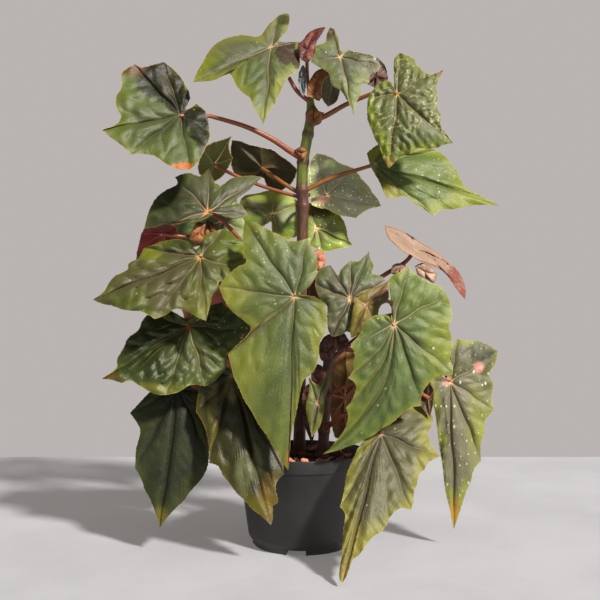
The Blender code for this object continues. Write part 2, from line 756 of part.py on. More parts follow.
def build_blade(name, blade, rings, finish):
    """A blade of even thickness: the same triangles on both faces, joined round the margin."""
    margin = margin_of(blade)
    count = len(margin)
    front = [to_space(*blade.joint)]
    for share in rings:
        front += [blade_point(blade, place, phase, share) for place, phase in margin]
    thickness = blade_normal(blade) * BLADE_T
    back = [point - thickness for point in front]
    size = len(front)
    faces = []
    for index in range(count):
        after = (index + 1) % count
        faces.append((0, 1 + index, 1 + after))
        for ring in range(len(rings) - 1):
            inner = 1 + ring * count
            outer = inner + count
            faces.append((inner + index, outer + index, outer + after))
            faces.append((inner + index, outer + after, inner + after))
    far = [tuple(corner + size for corner in reversed(face)) for face in faces]
    edge = 1 + (len(rings) - 1) * count
    rim = []
    for index in range(count):
        first = edge + index
        second = edge + (index + 1) % count
        rim.append((first, first + size, second + size))
        rim.append((first, second + size, second))
    return object_from(name, front + back, faces + far + rim, finish)


def smooth_route(points, steps):
    """Points on a smooth curve through these, each a tuple of numbers of any length."""
    padded = [points[0]] + list(points) + [points[-1]]
    route = []
    for index in range(len(points) - 1):
        before, start, end, after = padded[index:index + 4]
        for step in range(steps):
            t = step / steps
            route.append(tuple(
                b + (c - a) * t / 2 + (a - 2.5 * b + 2 * c - d / 2) * t**2 + (3 * (b - c) - a + d) * t**3 / 2
                for a, b, c, d in zip(before, start, end, after)
            ))
    route.append(tuple(points[-1]))
    return route


def build_tube(name, centres, radii, sides, finish=None):
    """A closed tube round these centres."""
    points = []
    start = (centres[1] - centres[0]).normalized()
    across = start.orthogonal().normalized()
    for index, centre in enumerate(centres):
        ahead = centres[min(index + 1, len(centres) - 1)]
        behind = centres[max(index - 1, 0)]
        along = (ahead - behind).normalized()
        across = (across - along * across.dot(along)).normalized()
        other = along.cross(across)
        for side in range(sides):
            angle = 2 * math.pi * side / sides
            points.append(centre + (across * math.cos(angle) + other * math.sin(angle)) * radii[index])
    faces = [tuple(reversed(range(sides)))]
    for ring in range(len(centres) - 1):
        for side in range(sides):
            after = (side + 1) % sides
            low = ring * sides
            high = low + sides
            faces.append((low + side, low + after, high + after, high + side))
    last = (len(centres) - 1) * sides
    faces.append(tuple(range(last, last + sides)))
    return object_from(name, points, faces, finish)


def petiole_end(blade, radius):
    """Where the petiole stops, just under the side of the blade that it carries it by."""
    normal = blade_normal(blade)
    joint = to_space(*blade.joint)
    if blade.top > 0:
        return joint - normal * (BLADE_T + JOINT_GAP + radius)
    return joint + normal * (JOINT_GAP + radius)


def build_petiole(petiole):
    route = smooth_route(petiole.route, SPAN_STEPS)
    centres = [to_space(*place) for place in route]
    blade = LEAVES.get(petiole.leaf) or SHEATHS[petiole.leaf]
    end = petiole_end(blade, PETIOLE_END_R)
    centres.append(centres[-1].lerp(end, 0.5))
    centres.append(end)
    last = len(centres) - 1
    radii = [petiole.radius + (PETIOLE_END_R - petiole.radius) * index / last for index in range(last + 1)]
    return build_tube(petiole.leaf + "_petiole", centres, radii, PETIOLE_SIDES)


def cane_line(line):
    route = smooth_route(line, SPAN_STEPS)
    centres = [to_space(*place[:3]) for place in route]
    radii = [place[3] for place in route]
    for index in range(SPAN_STEPS, len(radii) - 1, SPAN_STEPS):
        radii[index] *= NODE_SWELL
    return centres, radii


def build_canes():
    bark = material("cane_bark", (0.055, 0.030, 0.018), 0.55)
    for name, (line, petioles) in CANES.items():
        centres, radii = cane_line(line)
        cane = build_tube(name, centres, radii, CANE_SIDES, bark)
        combine(cane, [build_petiole(petiole) for petiole in petioles], "UNION")


def pot_profile():
    """The pot's wall as (radius, height), up the outside from the middle of its foot and down the inside."""
    band_z = POT_HEIGHT - POT_BAND_H
    body_top_r = POT_RIM_R - POT_BAND_STEP
    inside_foot_r = POT_BODY_FOOT_R - POT_WALL
    return (
        (POT_FOOT_R - EDGE_BEVEL, 0.0),
        (POT_FOOT_R, EDGE_BEVEL),
        (POT_FOOT_R + FOOT_FLARE, POT_FOOT_H / 2),
        (POT_BODY_FOOT_R, POT_FOOT_H),
        (body_top_r - RIM_BEVEL, band_z - EDGE_BEVEL),
        (POT_RIM_R - BAND_TAPER, band_z),
        (POT_RIM_R, POT_HEIGHT - EDGE_BEVEL),
        (POT_RIM_R - RIM_BEVEL, POT_HEIGHT),
        (POT_RIM_R - POT_WALL, POT_HEIGHT),
        (body_top_r - POT_WALL - RIM_BEVEL, band_z - 2 * EDGE_BEVEL),
        (inside_foot_r, POT_FOOT_H),
        (POT_FOOT_R - POT_WALL, POT_WALL),
    )


def turned(name, profile, sides, finish=None):
    """A solid turned round Z from a profile whose two ends are closed across the axis."""
    points = []
    for radius, height in profile:
        for side in range(sides):
            angle = 2 * math.pi * side / sides
            points.append((radius * math.cos(angle), radius * math.sin(angle), height))
    faces = [tuple(range(sides))]
    for ring in range(len(profile) - 1):
        for side in range(sides):
            after = (side + 1) % sides
            low = ring * sides
            high = low + sides
            faces.append((low + side, low + after, high + after, high + side))
    last = (len(profile) - 1) * sides
    faces.append(tuple(range(last, last + sides)))
    return object_from(name, points, faces, finish)


def radial_box(name, start, end, width, low, high, turn):
    """A box that lies along a radius of the pot."""
    out = Vector((math.cos(turn), math.sin(turn), 0.0))
    side = Vector((-out.y, out.x, 0.0)) * width / 2
    foot = [out * start - side, out * end - side, out * end + side, out * start + side]
    points = [point + Vector((0, 0, height)) for height in (low, high) for point in foot]
    faces = [(3, 2, 1, 0), (4, 5, 6, 7), (0, 1, 5, 4), (1, 2, 6, 5), (2, 3, 7, 6), (3, 0, 4, 7)]
    return object_from(name, points, faces)


def build_pot():
    pot = turned("pot", pot_profile(), POT_SIDES, material("pot_plastic", (0.012, 0.011, 0.012), 0.42))
    covers = []
    cutters = []
    for index in range(CHANNEL_COUNT):
        turn = CHANNEL_TURN + 2 * math.pi * index / CHANNEL_COUNT
        cover_top = CHANNEL_H + POT_WALL
        covers.append(radial_box(
            f"cover_{index}", CHANNEL_START_R - POT_WALL, POT_FOOT_R, CHANNEL_W + 2 * POT_WALL, COVER_FOOT,
            cover_top, turn,
        ))
        cutters.append(radial_box(
            f"channel_{index}", CHANNEL_START_R, POT_RIM_R, CHANNEL_W, -POT_WALL, CHANNEL_H, turn,
        ))
        centre = Vector((math.cos(turn), math.sin(turn), 0.0)) * DRAIN_PLACE_R
        drain = [centre - UP * POT_WALL, centre + UP * (cover_top + 2 * POT_WALL)]
        cutters.append(build_tube(f"drain_{index}", drain, [DRAIN_R, DRAIN_R], DRAIN_SIDES))
    combine(pot, covers, "UNION")
    for cutter in cutters:
        combine(pot, [cutter], "DIFFERENCE")


def soil_height(x, y):
    """The lumpy top of the soil."""
    waves = math.sin(x * 0.21 + 1.3) * math.cos(y * 0.17 - 0.4) + 0.6 * math.sin(x * 0.47 - y * 0.39)
    return SOIL_Z + SOIL_LUMP * waves


def inner_radius(height):
    """The radius of the pot's inside at a height over its chamfer."""
    profile = pot_profile()
    top, foot = profile[9], profile[10]
    share = (height - foot[1]) / (top[1] - foot[1])
    return foot[0] + (top[0] - foot[0]) * share


def build_soil():
    """The soil fills the pot up to its lumpy top, with a plain hole for each cane."""
    wall_r = inner_radius(SOIL_EDGE_Z) - SOIL_FIT
    wall = (
        (POT_FOOT_R - SOIL_FIT, CHANNEL_H + POT_WALL + GAP),
        (inner_radius(POT_FOOT_H) - SOIL_FIT, POT_FOOT_H + 2 * SOIL_FIT),
        (wall_r, SOIL_EDGE_Z),
    )
    turns = [2 * math.pi * side / SOIL_SIDES for side in range(SOIL_SIDES)]
    points = []
    for radius, height in wall:
        points += [(radius * math.cos(turn), radius * math.sin(turn), height) for turn in turns]
    for ring in range(SOIL_RINGS, 0, -1):
        radius = wall_r * ring / SOIL_RINGS
        for turn in turns:
            x, y = radius * math.cos(turn), radius * math.sin(turn)
            points.append((x, y, soil_height(x, y)))
    points.append((0.0, 0.0, soil_height(0.0, 0.0)))
    faces = [tuple(range(SOIL_SIDES))]
    rings = len(wall) + SOIL_RINGS
    for ring in range(rings - 1):
        for side in range(SOIL_SIDES):
            after = (side + 1) % SOIL_SIDES
            low = ring * SOIL_SIDES
            high = low + SOIL_SIDES
            faces.append((low + side, low + after, high + after))
            faces.append((low + side, high + after, high + side))
    last = (rings - 1) * SOIL_SIDES
    for side in range(SOIL_SIDES):
        faces.append((last + side, last + (side + 1) % SOIL_SIDES, len(points) - 1))
    soil = object_from("potting_soil", points, faces, material("soil", (0.028, 0.018, 0.012), 0.95))
    for name, (line, _) in CANES.items():
        centres, radii = cane_line(line[:HOLE_PLACES])
        deep = [centres[0] - UP * HOLE_EXTRA] + centres
        wide = [radius + HOLE_FIT for radius in radii]
        hole = build_tube(name + "_hole", deep, wide[:1] + wide, CANE_SIDES)
        combine(soil, [hole], "DIFFERENCE")


def build_scraps():
    """Crumpled bits of dry leaf, each resting on its lowest corner just over the soil."""
    paper = material("dry_leaf", (0.42, 0.16, 0.09), 0.8)
    draw = random.Random(SCRAP_SEED)
    count = SCRAP_CORNERS
    for number, ((x, y), size, turn, tilt) in enumerate(SCRAPS, start=1):
        corners = []
        for index in range(count):
            angle = math.radians(turn) + 2 * math.pi * index / count
            reach = size * draw.uniform(SCRAP_LEAST, 1.0)
            crumple = draw.uniform(-SCRAP_CRUMPLE, SCRAP_CRUMPLE)
            corners.append((x + reach * math.cos(angle), y + reach * math.sin(angle), crumple))
        needed = [soil_height(px, py) - tilt * (px - x) - crumple for px, py, crumple in corners]
        lift = max(needed) + SCRAP_CLEARANCE
        top = [Vector((px, py, lift + tilt * (px - x) + crumple + BLADE_T)) for px, py, crumple in corners]
        top.append(Vector((x, y, lift + BLADE_T + SCRAP_DOME)))
        low = [point - UP * BLADE_T for point in top]
        faces = []
        for index in range(count):
            after = (index + 1) % count
            under, under_after = count + 1 + index, count + 1 + after
            faces.append((index, after, count))
            faces.append((under_after, under, 2 * count + 1))
            faces.append((index, under, under_after))
            faces.append((index, under_after, after))
        object_from(f"dry_scrap_{number}", top + low, faces, paper)


def build_foliage():
    green = material("leaf_green", (0.050, 0.075, 0.028), 0.45)
    papery = material("dry_sheath", (0.30, 0.13, 0.05), 0.75)
    for name, blade in LEAVES.items():
        build_blade(name, blade, LEAF_RINGS, green)
    for name, blade in SHEATHS.items():
        build_blade(name, blade, SHEATH_RINGS, papery)


clear_scene()
build_pot()
build_soil()
build_canes()
build_foliage()
build_scraps()
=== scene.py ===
# %% [markdown]
# A potted begonia. The frame below holds the solids of the plant, its soil and its pot, at their real size. This
# lesson dresses them: every blade gets its quilted surface, veins, dots and thin margin, every cane its nodes and
# colour, the soil its crumbs, and the pot its moulded finish. Nothing here moves or resizes a solid.

# %% Load the frame
import math

import bpy
import numpy as np
from mathutils import Matrix, Vector


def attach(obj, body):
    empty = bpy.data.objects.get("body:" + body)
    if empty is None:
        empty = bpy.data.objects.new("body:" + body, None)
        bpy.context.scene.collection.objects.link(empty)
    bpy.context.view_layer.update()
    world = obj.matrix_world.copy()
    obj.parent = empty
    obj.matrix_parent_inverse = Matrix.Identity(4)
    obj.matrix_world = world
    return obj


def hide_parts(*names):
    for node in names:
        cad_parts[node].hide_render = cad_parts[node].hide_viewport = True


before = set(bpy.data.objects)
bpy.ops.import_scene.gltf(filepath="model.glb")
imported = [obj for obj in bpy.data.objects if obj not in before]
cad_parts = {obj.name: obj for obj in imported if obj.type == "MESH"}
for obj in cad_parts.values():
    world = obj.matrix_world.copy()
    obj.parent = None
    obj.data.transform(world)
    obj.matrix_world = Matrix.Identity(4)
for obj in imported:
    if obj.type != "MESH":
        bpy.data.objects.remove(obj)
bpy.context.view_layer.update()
MM = 0.001
BODY = "root"

# %% [markdown]
# The photograph was taken level, from just over pot height. The eye's place came from how round the pot's rim and
# foot look. A 53 mm lens on a 36 mm sensor then gives the same frame, with no shift. The same eye is used to write
# down where each leaf is: across and up are read as on a front elevation through the pot's axis, and depth is how far
# behind that plane the point lies.

# %% Camera
EYE = (-2.0, -885.0, 242.0)
SENSOR_MM = 36.0
FOCAL_PIXELS = 885.0
IMAGE_PIXELS = 600.0

camera = bpy.data.objects.new("camera", bpy.data.cameras.new("camera"))
camera.data.sensor_width = SENSOR_MM
camera.data.lens = SENSOR_MM * FOCAL_PIXELS / IMAGE_PIXELS
camera.data.clip_start = 0.05
camera.location = Vector(EYE) * MM
camera.rotation_euler = (math.radians(90), 0, 0)
bpy.context.scene.collection.objects.link(camera)
bpy.context.scene.camera = camera
print("lens:", round(camera.data.lens, 1), "mm")


# %% [markdown]
# Materials and Geometry Nodes are both trees of nodes. Their maths reads best as plain expressions, so one small class
# stands for a socket and turns Python's operators into Math nodes. Colours and vectors go through Mix and Vector Math
# nodes instead, because a Math node would turn a colour grey.

# %% Node maths
class Flow:
    """A socket whose number varies from place to place, with Python's operators as Math nodes."""

    def __init__(self, nodes, socket):
        self.nodes = nodes
        self.socket = socket

    def calc(self, operation, *others):
        return self.nodes.calc(operation, self, *others)

    def __add__(self, other):
        return self.calc("ADD", other)

    def __sub__(self, other):
        return self.calc("SUBTRACT", other)

    def __mul__(self, other):
        return self.calc("MULTIPLY", other)

    def __truediv__(self, other):
        return self.calc("DIVIDE", other)

    def __rsub__(self, other):
        return self.nodes.calc("SUBTRACT", other, self)

    __radd__ = __add__
    __rmul__ = __mul__

    def clamped(self):
        return self.nodes.calc("ADD", self, 0.0, clamp=True)

    def step(self, start, end):
        """0 at start and 1 at end, smooth between them, whichever of the two is the greater."""
        made = self.nodes.add(
            "ShaderNodeMapRange", {"interpolation_type": "SMOOTHSTEP"},
            Value=self, From_Min=min(start, end), From_Max=max(start, end),
        )
        rise = Flow(self.nodes, made.outputs["Result"])
        return rise if start < end else 1.0 - rise


class Nodes:
    """A tree of nodes, and the one way in which nodes are added to it."""

    def __init__(self, tree):
        self.tree = tree

    def put(self, target, value):
        if isinstance(value, Flow):
            self.tree.links.new(value.socket, target)
        elif isinstance(value, bpy.types.NodeSocket):
            self.tree.links.new(value, target)
        elif target.type == "RGBA" and len(value) == 3:
            target.default_value = (*value, 1.0)
        else:
            target.default_value = value

    def add(self, kind, settings=None, **values):
        """A node of this type: first its settings, then the values or links of its sockets."""
        made = self.tree.nodes.new(kind)
        for label, value in (settings or {}).items():
            setattr(made, label, value)
        by_identifier = {socket.identifier: socket for socket in made.inputs}
        for label, value in values.items():
            target = by_identifier.get(label) or made.inputs[label.replace("_", " ")]
            self.put(target, value)
        return made

    def calc(self, operation, *values, clamp=False):
        made = self.add("ShaderNodeMath", {"operation": operation, "use_clamp": clamp})
        for target, value in zip(made.inputs, values):
            self.put(target, value)
        return Flow(self, made.outputs["Value"])

    def vector(self, operation, first, second=None, scale=None):
        made = self.add("ShaderNodeVectorMath", {"operation": operation})
        self.put(made.inputs[0], first)
        if second is not None:
            self.put(made.inputs[1], second)
        if scale is not None:
            self.put(made.inputs["Scale"], scale)
        return Flow(self, made.outputs["Value" if operation in ("DISTANCE", "LENGTH") else "Vector"])

    def noise(self, place, scale, detail=3.0, roughness=0.5):
        made = self.add("ShaderNodeTexNoise", None, Vector=place, Scale=scale, Detail=detail, Roughness=roughness)
        return Flow(self, made.outputs["Fac"])

    def mix(self, factor, first, second, blend="MIX"):
        made = self.add(
            "ShaderNodeMix", {"data_type": "RGBA", "blend_type": blend},
            Factor_Float=factor, A_Color=first, B_Color=second,
        )
        return next(socket for socket in made.outputs if socket.identifier == "Result_Color")


class Finish(Nodes):
    """A material and its Principled shader."""

    def __init__(self, name, **constants):
        self.material = bpy.data.materials.new(name)
        self.material.use_nodes = True
        super().__init__(self.material.node_tree)
        self.shader = self.tree.nodes["Principled BSDF"]
        for label, value in constants.items():
            self.shader.inputs[label.replace("_", " ")].default_value = value

    def attribute(self, name):
        return Flow(self, self.add("ShaderNodeAttribute", {"attribute_name": name}).outputs["Fac"])

    def place(self, scale):
        """Object coordinates, times this scale."""
        return self.vector("SCALE", self.add("ShaderNodeTexCoord").outputs["Object"], scale=scale)

    def height(self):
        """How high the point lies, in millimetres."""
        split = self.add("ShaderNodeSeparateXYZ", None, Vector=self.place(1.0 / MM))
        return Flow(self, split.outputs["Z"])

    def cells(self, place, scale, dimensions="3D"):
        return self.add("ShaderNodeTexVoronoi", {"voronoi_dimensions": dimensions}, Vector=place, Scale=scale)

    def bump(self, height, distance, strength=1.0):
        return self.add("ShaderNodeBump", None, Height=height, Distance=distance, Strength=strength).outputs["Normal"]

    def feed(self, **values):
        """Links these to the shader's own sockets, and gives the material."""
        for label, value in values.items():
            self.put(self.shader.inputs[label.replace("_", " ")], value)
        return self.material


class Rule(Nodes):
    """A Geometry Nodes tree with named inputs, each given as its socket type and its first value."""

    def __init__(self, name, **inputs):
        super().__init__(bpy.data.node_groups.new(name, "GeometryNodeTree"))
        self.tree.interface.new_socket(name="Shape", in_out="OUTPUT", socket_type="NodeSocketGeometry")
        self.tree.interface.new_socket(name="Shape", in_out="INPUT", socket_type="NodeSocketGeometry")
        self.keys = {}
        for label, (kind, value) in inputs.items():
            socket = self.tree.interface.new_socket(name=label, in_out="INPUT", socket_type="NodeSocket" + kind)
            if value is not None:
                socket.default_value = value
            self.keys[label] = socket.identifier
        self.start = self.tree.nodes.new("NodeGroupInput")
        self.end = self.tree.nodes.new("NodeGroupOutput")

    def given(self, label):
        return Flow(self, self.start.outputs[label])

    def close(self, shape, material):
        """Ends the tree in Realize Instances and Set Material."""
        real = self.add("GeometryNodeRealizeInstances", None, Geometry=shape)
        last = self.add("GeometryNodeSetMaterial", None, Geometry=real.outputs[0], Material=material)
        self.put(self.end.inputs[0], last.outputs[0])

    def grow(self, name, source, **values):
        """The plain mesh that the rule makes from the source mesh, as an object of this name."""
        holder = bpy.data.objects.new(name + "_source", source)
        bpy.context.scene.collection.objects.link(holder)
        step = holder.modifiers.new("rule", "NODES")
        step.node_group = self.tree
        for label, value in values.items():
            step[self.keys[label]] = value
        graph = bpy.context.evaluated_depsgraph_get()
        mesh = bpy.data.meshes.new_from_object(holder.evaluated_get(graph))
        bpy.data.objects.remove(holder, do_unlink=True)
        mesh.name = name
        return place_mesh(name, mesh)


def place_mesh(name, mesh):
    made = bpy.data.objects.new(name, mesh)
    bpy.context.scene.collection.objects.link(made)
    return made


def settle(piece, slot, *nodes):
    """The piece goes with the plant's one body and stands for these solids. The slot is not used."""
    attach(piece, BODY)
    if nodes:
        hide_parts(*nodes)
    print(piece.name, len(piece.data.polygons), "faces")


print("node helpers ready")


# %% [markdown]
# A begonia's blade is one thin sheet, held at a joint from which a main rib runs to the tip of each lobe. So a blade
# is written down as its joint and its lobes: each lobe is its tip and then the points of the margin up to the next
# tip. Lean says how its depth changes per mm across and per mm up, droop how much deeper its margin hangs, bow how far
# its longest rib bends, and top whether its green upper side faces the eye. The solids were made from these same
# numbers, so the finer blades below lie in the solids' places.

# %% Leaf table
class Blade:
    """One blade, in millimetres on the elevation."""

    def __init__(self, joint, lean, droop, bow, top, lobes):
        self.joint = np.array(joint, float)
        self.lean = np.array(lean, float)
        self.droop = droop
        self.bow = bow
        self.top = top
        self.lobes = [np.array(lobe, float) for lobe in lobes]


LEAVES = {
    "leaf_01": Blade(
        (-31, 495, -18), lean=(0.15, 0.75), droop=16, bow=0, top=1,
        lobes=(
            ((-109, 460), (-99, 480), (-88, 497), (-72, 505), (-59, 507), (-43, 506)),
            ((-23, 527), (-13, 528), (-14, 514), (-23, 501)),
            ((-3, 500), (-2, 484), (-3, 473), (-13, 465), (-18, 458), (-23, 447), (-32, 432)),
            ((-39, 418), (-44, 428), (-52, 444), (-66, 457), (-71, 467), (-76, 468), (-88, 462)),
        ),
    ),
    "leaf_02": Blade(
        (38, 485, -30), lean=(-0.1, 0.6), droop=12, bow=0, top=1,
        lobes=(
            ((9, 480), (14, 496), (23, 500)),
            ((28, 515), (34, 510), (39, 492)),
            ((47, 492), (59, 489), (70, 486)),
            ((79, 476), (75, 470), (68, 467), (67, 459), (60, 458), (59, 449), (54, 438)),
            ((52, 427), (46, 440), (39, 451), (30, 457), (26, 469), (17, 475)),
        ),
    ),
    "leaf_03": Blade(
        (95, 448, -38), lean=(-0.2, 0.35), droop=16, bow=0, top=1,
        lobes=(
            ((66, 445), (75, 457), (82, 461), (88, 461), (92, 455), (92, 482)),
            ((98, 489), (105, 487), (112, 483), (116, 476), (123, 470), (131, 468)),
            ((141, 472), (137, 462), (134, 456), (135, 435), (139, 427), (139, 416)),
            ((151, 399), (142, 397), (135, 394), (115, 394), (109, 388), (99, 388)),
            ((87, 374), (82, 382), (77, 396), (70, 411), (66, 421), (65, 433)),
        ),
    ),
    "leaf_04": Blade(
        (72, 378, -8), lean=(0.1, 0.5), droop=18, bow=0, top=1,
        lobes=(
            ((65, 389), (75, 397), (95, 402), (117, 395)),
            ((135, 392), (149, 379), (157, 366), (163, 356), (178, 347)),
            ((197, 337), (181, 337), (165, 336), (140, 332)),
            ((132, 326), (116, 337), (103, 346)),
            ((85, 344), (78, 359), (72, 369), (68, 377)),
        ),
    ),
    "leaf_05": Blade(
        (-122, 427, -30), lean=(0.1, 0.45), droop=-12, bow=0, top=1,
        lobes=(
            ((-200, 412), (-186, 418), (-181, 426), (-186, 434), (-186, 446), (-181, 454), (-181, 468)),
            ((-168, 478), (-160, 475), (-150, 477)),
            ((-138, 480), (-127, 472), (-119, 462), (-113, 450), (-112, 443), (-116, 433)),
            ((-105, 438), (-97, 431), (-93, 418), (-92, 406), (-95, 397), (-101, 385)),
            ((-112, 373), (-126, 373), (-139, 380), (-147, 386), (-158, 388)),
            ((-171, 388), (-181, 397), (-192, 405)),
        ),
    ),
    "leaf_06": Blade(
        (-40, 374, 30), lean=(0.0, -0.6), droop=10, bow=0, top=-1,
        lobes=(
            ((-70, 402), (-54, 398)),
            ((-41, 395), (-29, 392), (-21, 386)),
            ((-5, 373), (-6, 367), (-11, 358)),
            ((-21, 351), (-33, 352), (-40, 364)),
            ((-58, 354), (-69, 370), (-71, 386)),
        ),
    ),
    "leaf_07": Blade(
        (24, 347, 26), lean=(0.0, 0.45), droop=12, bow=0, top=1,
        lobes=(
            ((13, 389), (23, 387), (38, 379)),
            ((52, 374), (61, 362), (71, 349)),
            ((79, 336), (65, 332)),
            ((54, 324), (40, 326), (25, 333)),
            ((10, 337), (8, 352), (7, 372)),
        ),
    ),
    "leaf_08": Blade(
        (14, 314, 24), lean=(0.0, 0.4), droop=8, bow=0, top=1,
        lobes=(
            ((6, 339), (20, 338), (34, 331), (42, 321)),
            ((45, 311), (46, 304)),
            ((50, 297), (35, 293)),
            ((21, 289), (12, 295)),
            ((7, 296), (5, 314)),
        ),
    ),
    "leaf_09": Blade(
        (-30, 328, 46), lean=(0.0, 0.2), droop=8, bow=0, top=1,
        lobes=(
            ((-64, 336), (-58, 346), (-44, 349)),
            ((-26, 352), (-12, 346)),
            ((-1, 339), (-2, 322), (-5, 306)),
            ((-19, 301), (-29, 306), (-32, 320)),
            ((-52, 302), (-61, 316)),
        ),
    ),
    "leaf_10": Blade(
        (-94, 330, -30), lean=(0.05, 0.6), droop=16, bow=0, top=1,
        lobes=(
            ((-158, 313), (-155, 326), (-145, 345), (-136, 352), (-125, 358)),
            ((-127, 365), (-112, 369), (-102, 366)),
            ((-93, 374), (-88, 362), (-83, 355), (-70, 364), (-59, 366)),
            ((-40, 365), (-53, 352), (-64, 344), (-70, 337), (-62, 338)),
            ((-54, 327), (-66, 323), (-77, 325), (-88, 328)),
            ((-107, 320), (-129, 317), (-145, 315)),
        ),
    ),
    "leaf_11": Blade(
        (-102, 285, -52), lean=(0.1, 0.7), droop=20, bow=0, top=1,
        lobes=(
            ((-209, 242), (-198, 251), (-187, 266), (-175, 272), (-173, 279), (-164, 284)),
            ((-158, 294), (-149, 297), (-138, 301), (-124, 303), (-114, 300), (-105, 293), (-97, 306)),
            ((-79, 313), (-71, 310), (-64, 303), (-54, 302), (-53, 291), (-47, 277)),
            ((-42, 265), (-48, 262), (-65, 262), (-74, 259), (-82, 261), (-90, 242)),
            ((-96, 221), (-105, 225), (-114, 230), (-126, 233)),
            ((-147, 223), (-159, 230), (-171, 231), (-189, 236)),
        ),
    ),
    "leaf_12": Blade(
        (-7.5, 245, -88), lean=(0.0, 0.18), droop=22, bow=0, top=1,
        lobes=(
            ((-74, 188), (-52, 211), (-58, 221), (-74, 236)),
            ((-83, 255), (-73, 268), (-56, 280), (-59, 302)),
            ((-57, 321), (-48, 320), (-38, 315), (-31, 311), (-22, 307), (-13, 302), (-5, 301)),
            ((6, 304), (9, 296), (15, 286), (15, 274), (14, 266), (8, 256), (-1, 248), (13, 245)),
            ((24, 238), (25, 224), (24, 211), (18, 200), (14, 175), (1, 160), (-5, 133), (-11, 104)),
            ((-14, 72), (-24, 89), (-35, 106), (-51, 131), (-64, 156), (-71, 175)),
        ),
    ),
    "leaf_13": Blade(
        (-113, 216, -44), lean=(0.05, 0.5), droop=16, bow=0, top=1,
        lobes=(
            ((-200, 163), (-186, 174), (-185, 183), (-178, 195), (-174, 204), (-164, 212), (-160, 221)),
            ((-155, 227), (-146, 227), (-130, 231), (-116, 224), (-94, 236)),
            ((-80, 240), (-69, 230), (-57, 222)),
            ((-48, 210), (-56, 208), (-62, 200), (-75, 187), (-75, 176), (-83, 165)),
            ((-97, 156), (-111, 157), (-123, 150)),
            ((-136, 147), (-152, 150), (-164, 157), (-171, 161)),
            ((-181, 159), (-190, 162)),
        ),
    ),
    "leaf_14": Blade(
        (-124, 154, -34), lean=(0.0, 0.22), droop=18, bow=0, top=1,
        lobes=(
            ((-142, 15), (-151, 41), (-161, 63)),
            ((-167, 74), (-166, 92), (-162, 109), (-164, 117)),
            ((-172, 129), (-160, 142), (-151, 151), (-137, 157), (-123, 160)),
            ((-102, 150), (-104, 137), (-103, 124), (-96, 111)),
            ((-93, 87), (-94, 77), (-102, 61), (-112, 50), (-125, 35), (-135, 24)),
        ),
    ),
    "leaf_15": Blade(
        (-70, 167, -52), lean=(0.0, 0.3), droop=9, bow=0, top=1,
        lobes=(
            ((-31, 17), (-41, 26), (-57, 41), (-73, 59), (-84, 76)),
            ((-93, 79), (-93, 92), (-95, 107), (-100, 121)),
            ((-106, 130), (-102, 156)),
            ((-95, 170), (-77, 176), (-70, 173), (-54, 168)),
            ((-40, 152), (-30, 127), (-21, 97)),
            ((-18, 68), (-25, 60), (-26, 52), (-24, 40), (-29, 36), (-29, 24)),
        ),
    ),
    "leaf_16": Blade(
        (92, 218, -82), lean=(0.0, 0.12), droop=22, bow=20, top=1,
        lobes=(
            ((21, 88), (28, 94), (39, 107), (44, 116), (46, 126)),
            ((44, 134), (51, 144), (54, 157)),
            ((46, 164), (51, 172), (53, 187)),
            ((49, 198), (60, 211), (61, 218), (74, 227), (85, 227), (89, 224), (89, 242), (88, 253),
             (88, 264), (99, 271)),
            ((106, 276), (115, 267), (127, 260), (138, 256)),
            ((145, 248), (150, 225), (147, 215), (150, 197), (148, 184)),
            ((151, 168), (135, 166), (127, 159), (120, 148)),
            ((119, 136), (108, 134), (99, 127), (90, 119), (81, 114), (64, 103), (47, 96)),
        ),
    ),
    "leaf_17": Blade(
        (48, 243, -48), lean=(0.0, 0.35), droop=12, bow=0, top=1,
        lobes=(
            ((30, 205), (26, 212), (25, 224), (25, 236), (19, 241)),
            ((13, 258), (14, 266), (18, 273)),
            ((28, 277), (36, 267), (39, 273)),
            ((49, 282), (57, 281)),
            ((67, 291), (69, 283), (72, 277), (70, 269)),
            ((84, 262), (74, 256), (62, 249), (53, 243)),
            ((52, 217), (41, 208)),
        ),
    ),
    "leaf_18": Blade(
        (64, 237, -58), lean=(0.1, 0.3), droop=6, bow=0, top=1,
        lobes=(
            ((87, 262), (87, 251), (86, 242), (78, 235)),
            ((72, 220), (62, 212)),
            ((49, 204), (49, 220), (51, 234)),
            ((54, 244), (64, 251), (75, 256)),
        ),
    ),
    "leaf_19": Blade(
        (148, 160, -20), lean=(0.1, 0.1), droop=16, bow=0, top=1,
        lobes=(
            ((152, 13), (148, 31), (143, 54), (140, 78), (137, 98), (133, 129), (131, 148)),
            ((128, 161), (136, 167), (145, 165), (150, 195)),
            ((156, 203), (167, 202), (182, 199)),
            ((196, 191), (194, 180), (187, 168), (191, 158), (190, 145)),
            ((192, 132), (183, 121), (179, 98)),
            ((179, 81), (172, 72), (164, 49), (156, 25)),
        ),
    ),
    "leaf_20": Blade(
        (79, 108, -72), lean=(0.0, 0.55), droop=12, bow=0, top=1,
        lobes=(
            ((40, -41), (37, -34), (40, -9), (41, 9), (43, 27)),
            ((38, 35), (42, 51), (45, 69)),
            ((55, 92), (64, 105), (78, 115), (92, 130)),
            ((110, 143), (120, 135), (131, 124), (126, 108), (131, 96)),
            ((138, 86), (127, 80), (117, 67), (112, 50)),
            ((109, 32), (99, 34), (89, 26), (80, 11), (71, 5), (63, -5), (50, -19), (45, -33)),
        ),
    ),
    "leaf_21": Blade(
        (114, 292, -14), lean=(1.9, 2.1), droop=4, bow=10, top=1,
        lobes=(
            ((83, 317), (97, 312), (108, 307), (119, 299)),
            ((132, 292), (145, 282), (154, 273), (161, 262), (164, 252)),
            ((163, 243), (157, 250), (148, 263), (139, 272)),
            ((125, 279), (110, 286), (96, 295), (86, 305)),
        ),
    ),
    "leaf_22": Blade(
        (15, 139, -46), lean=(0.0, 0.2), droop=2, bow=0, top=1,
        lobes=(
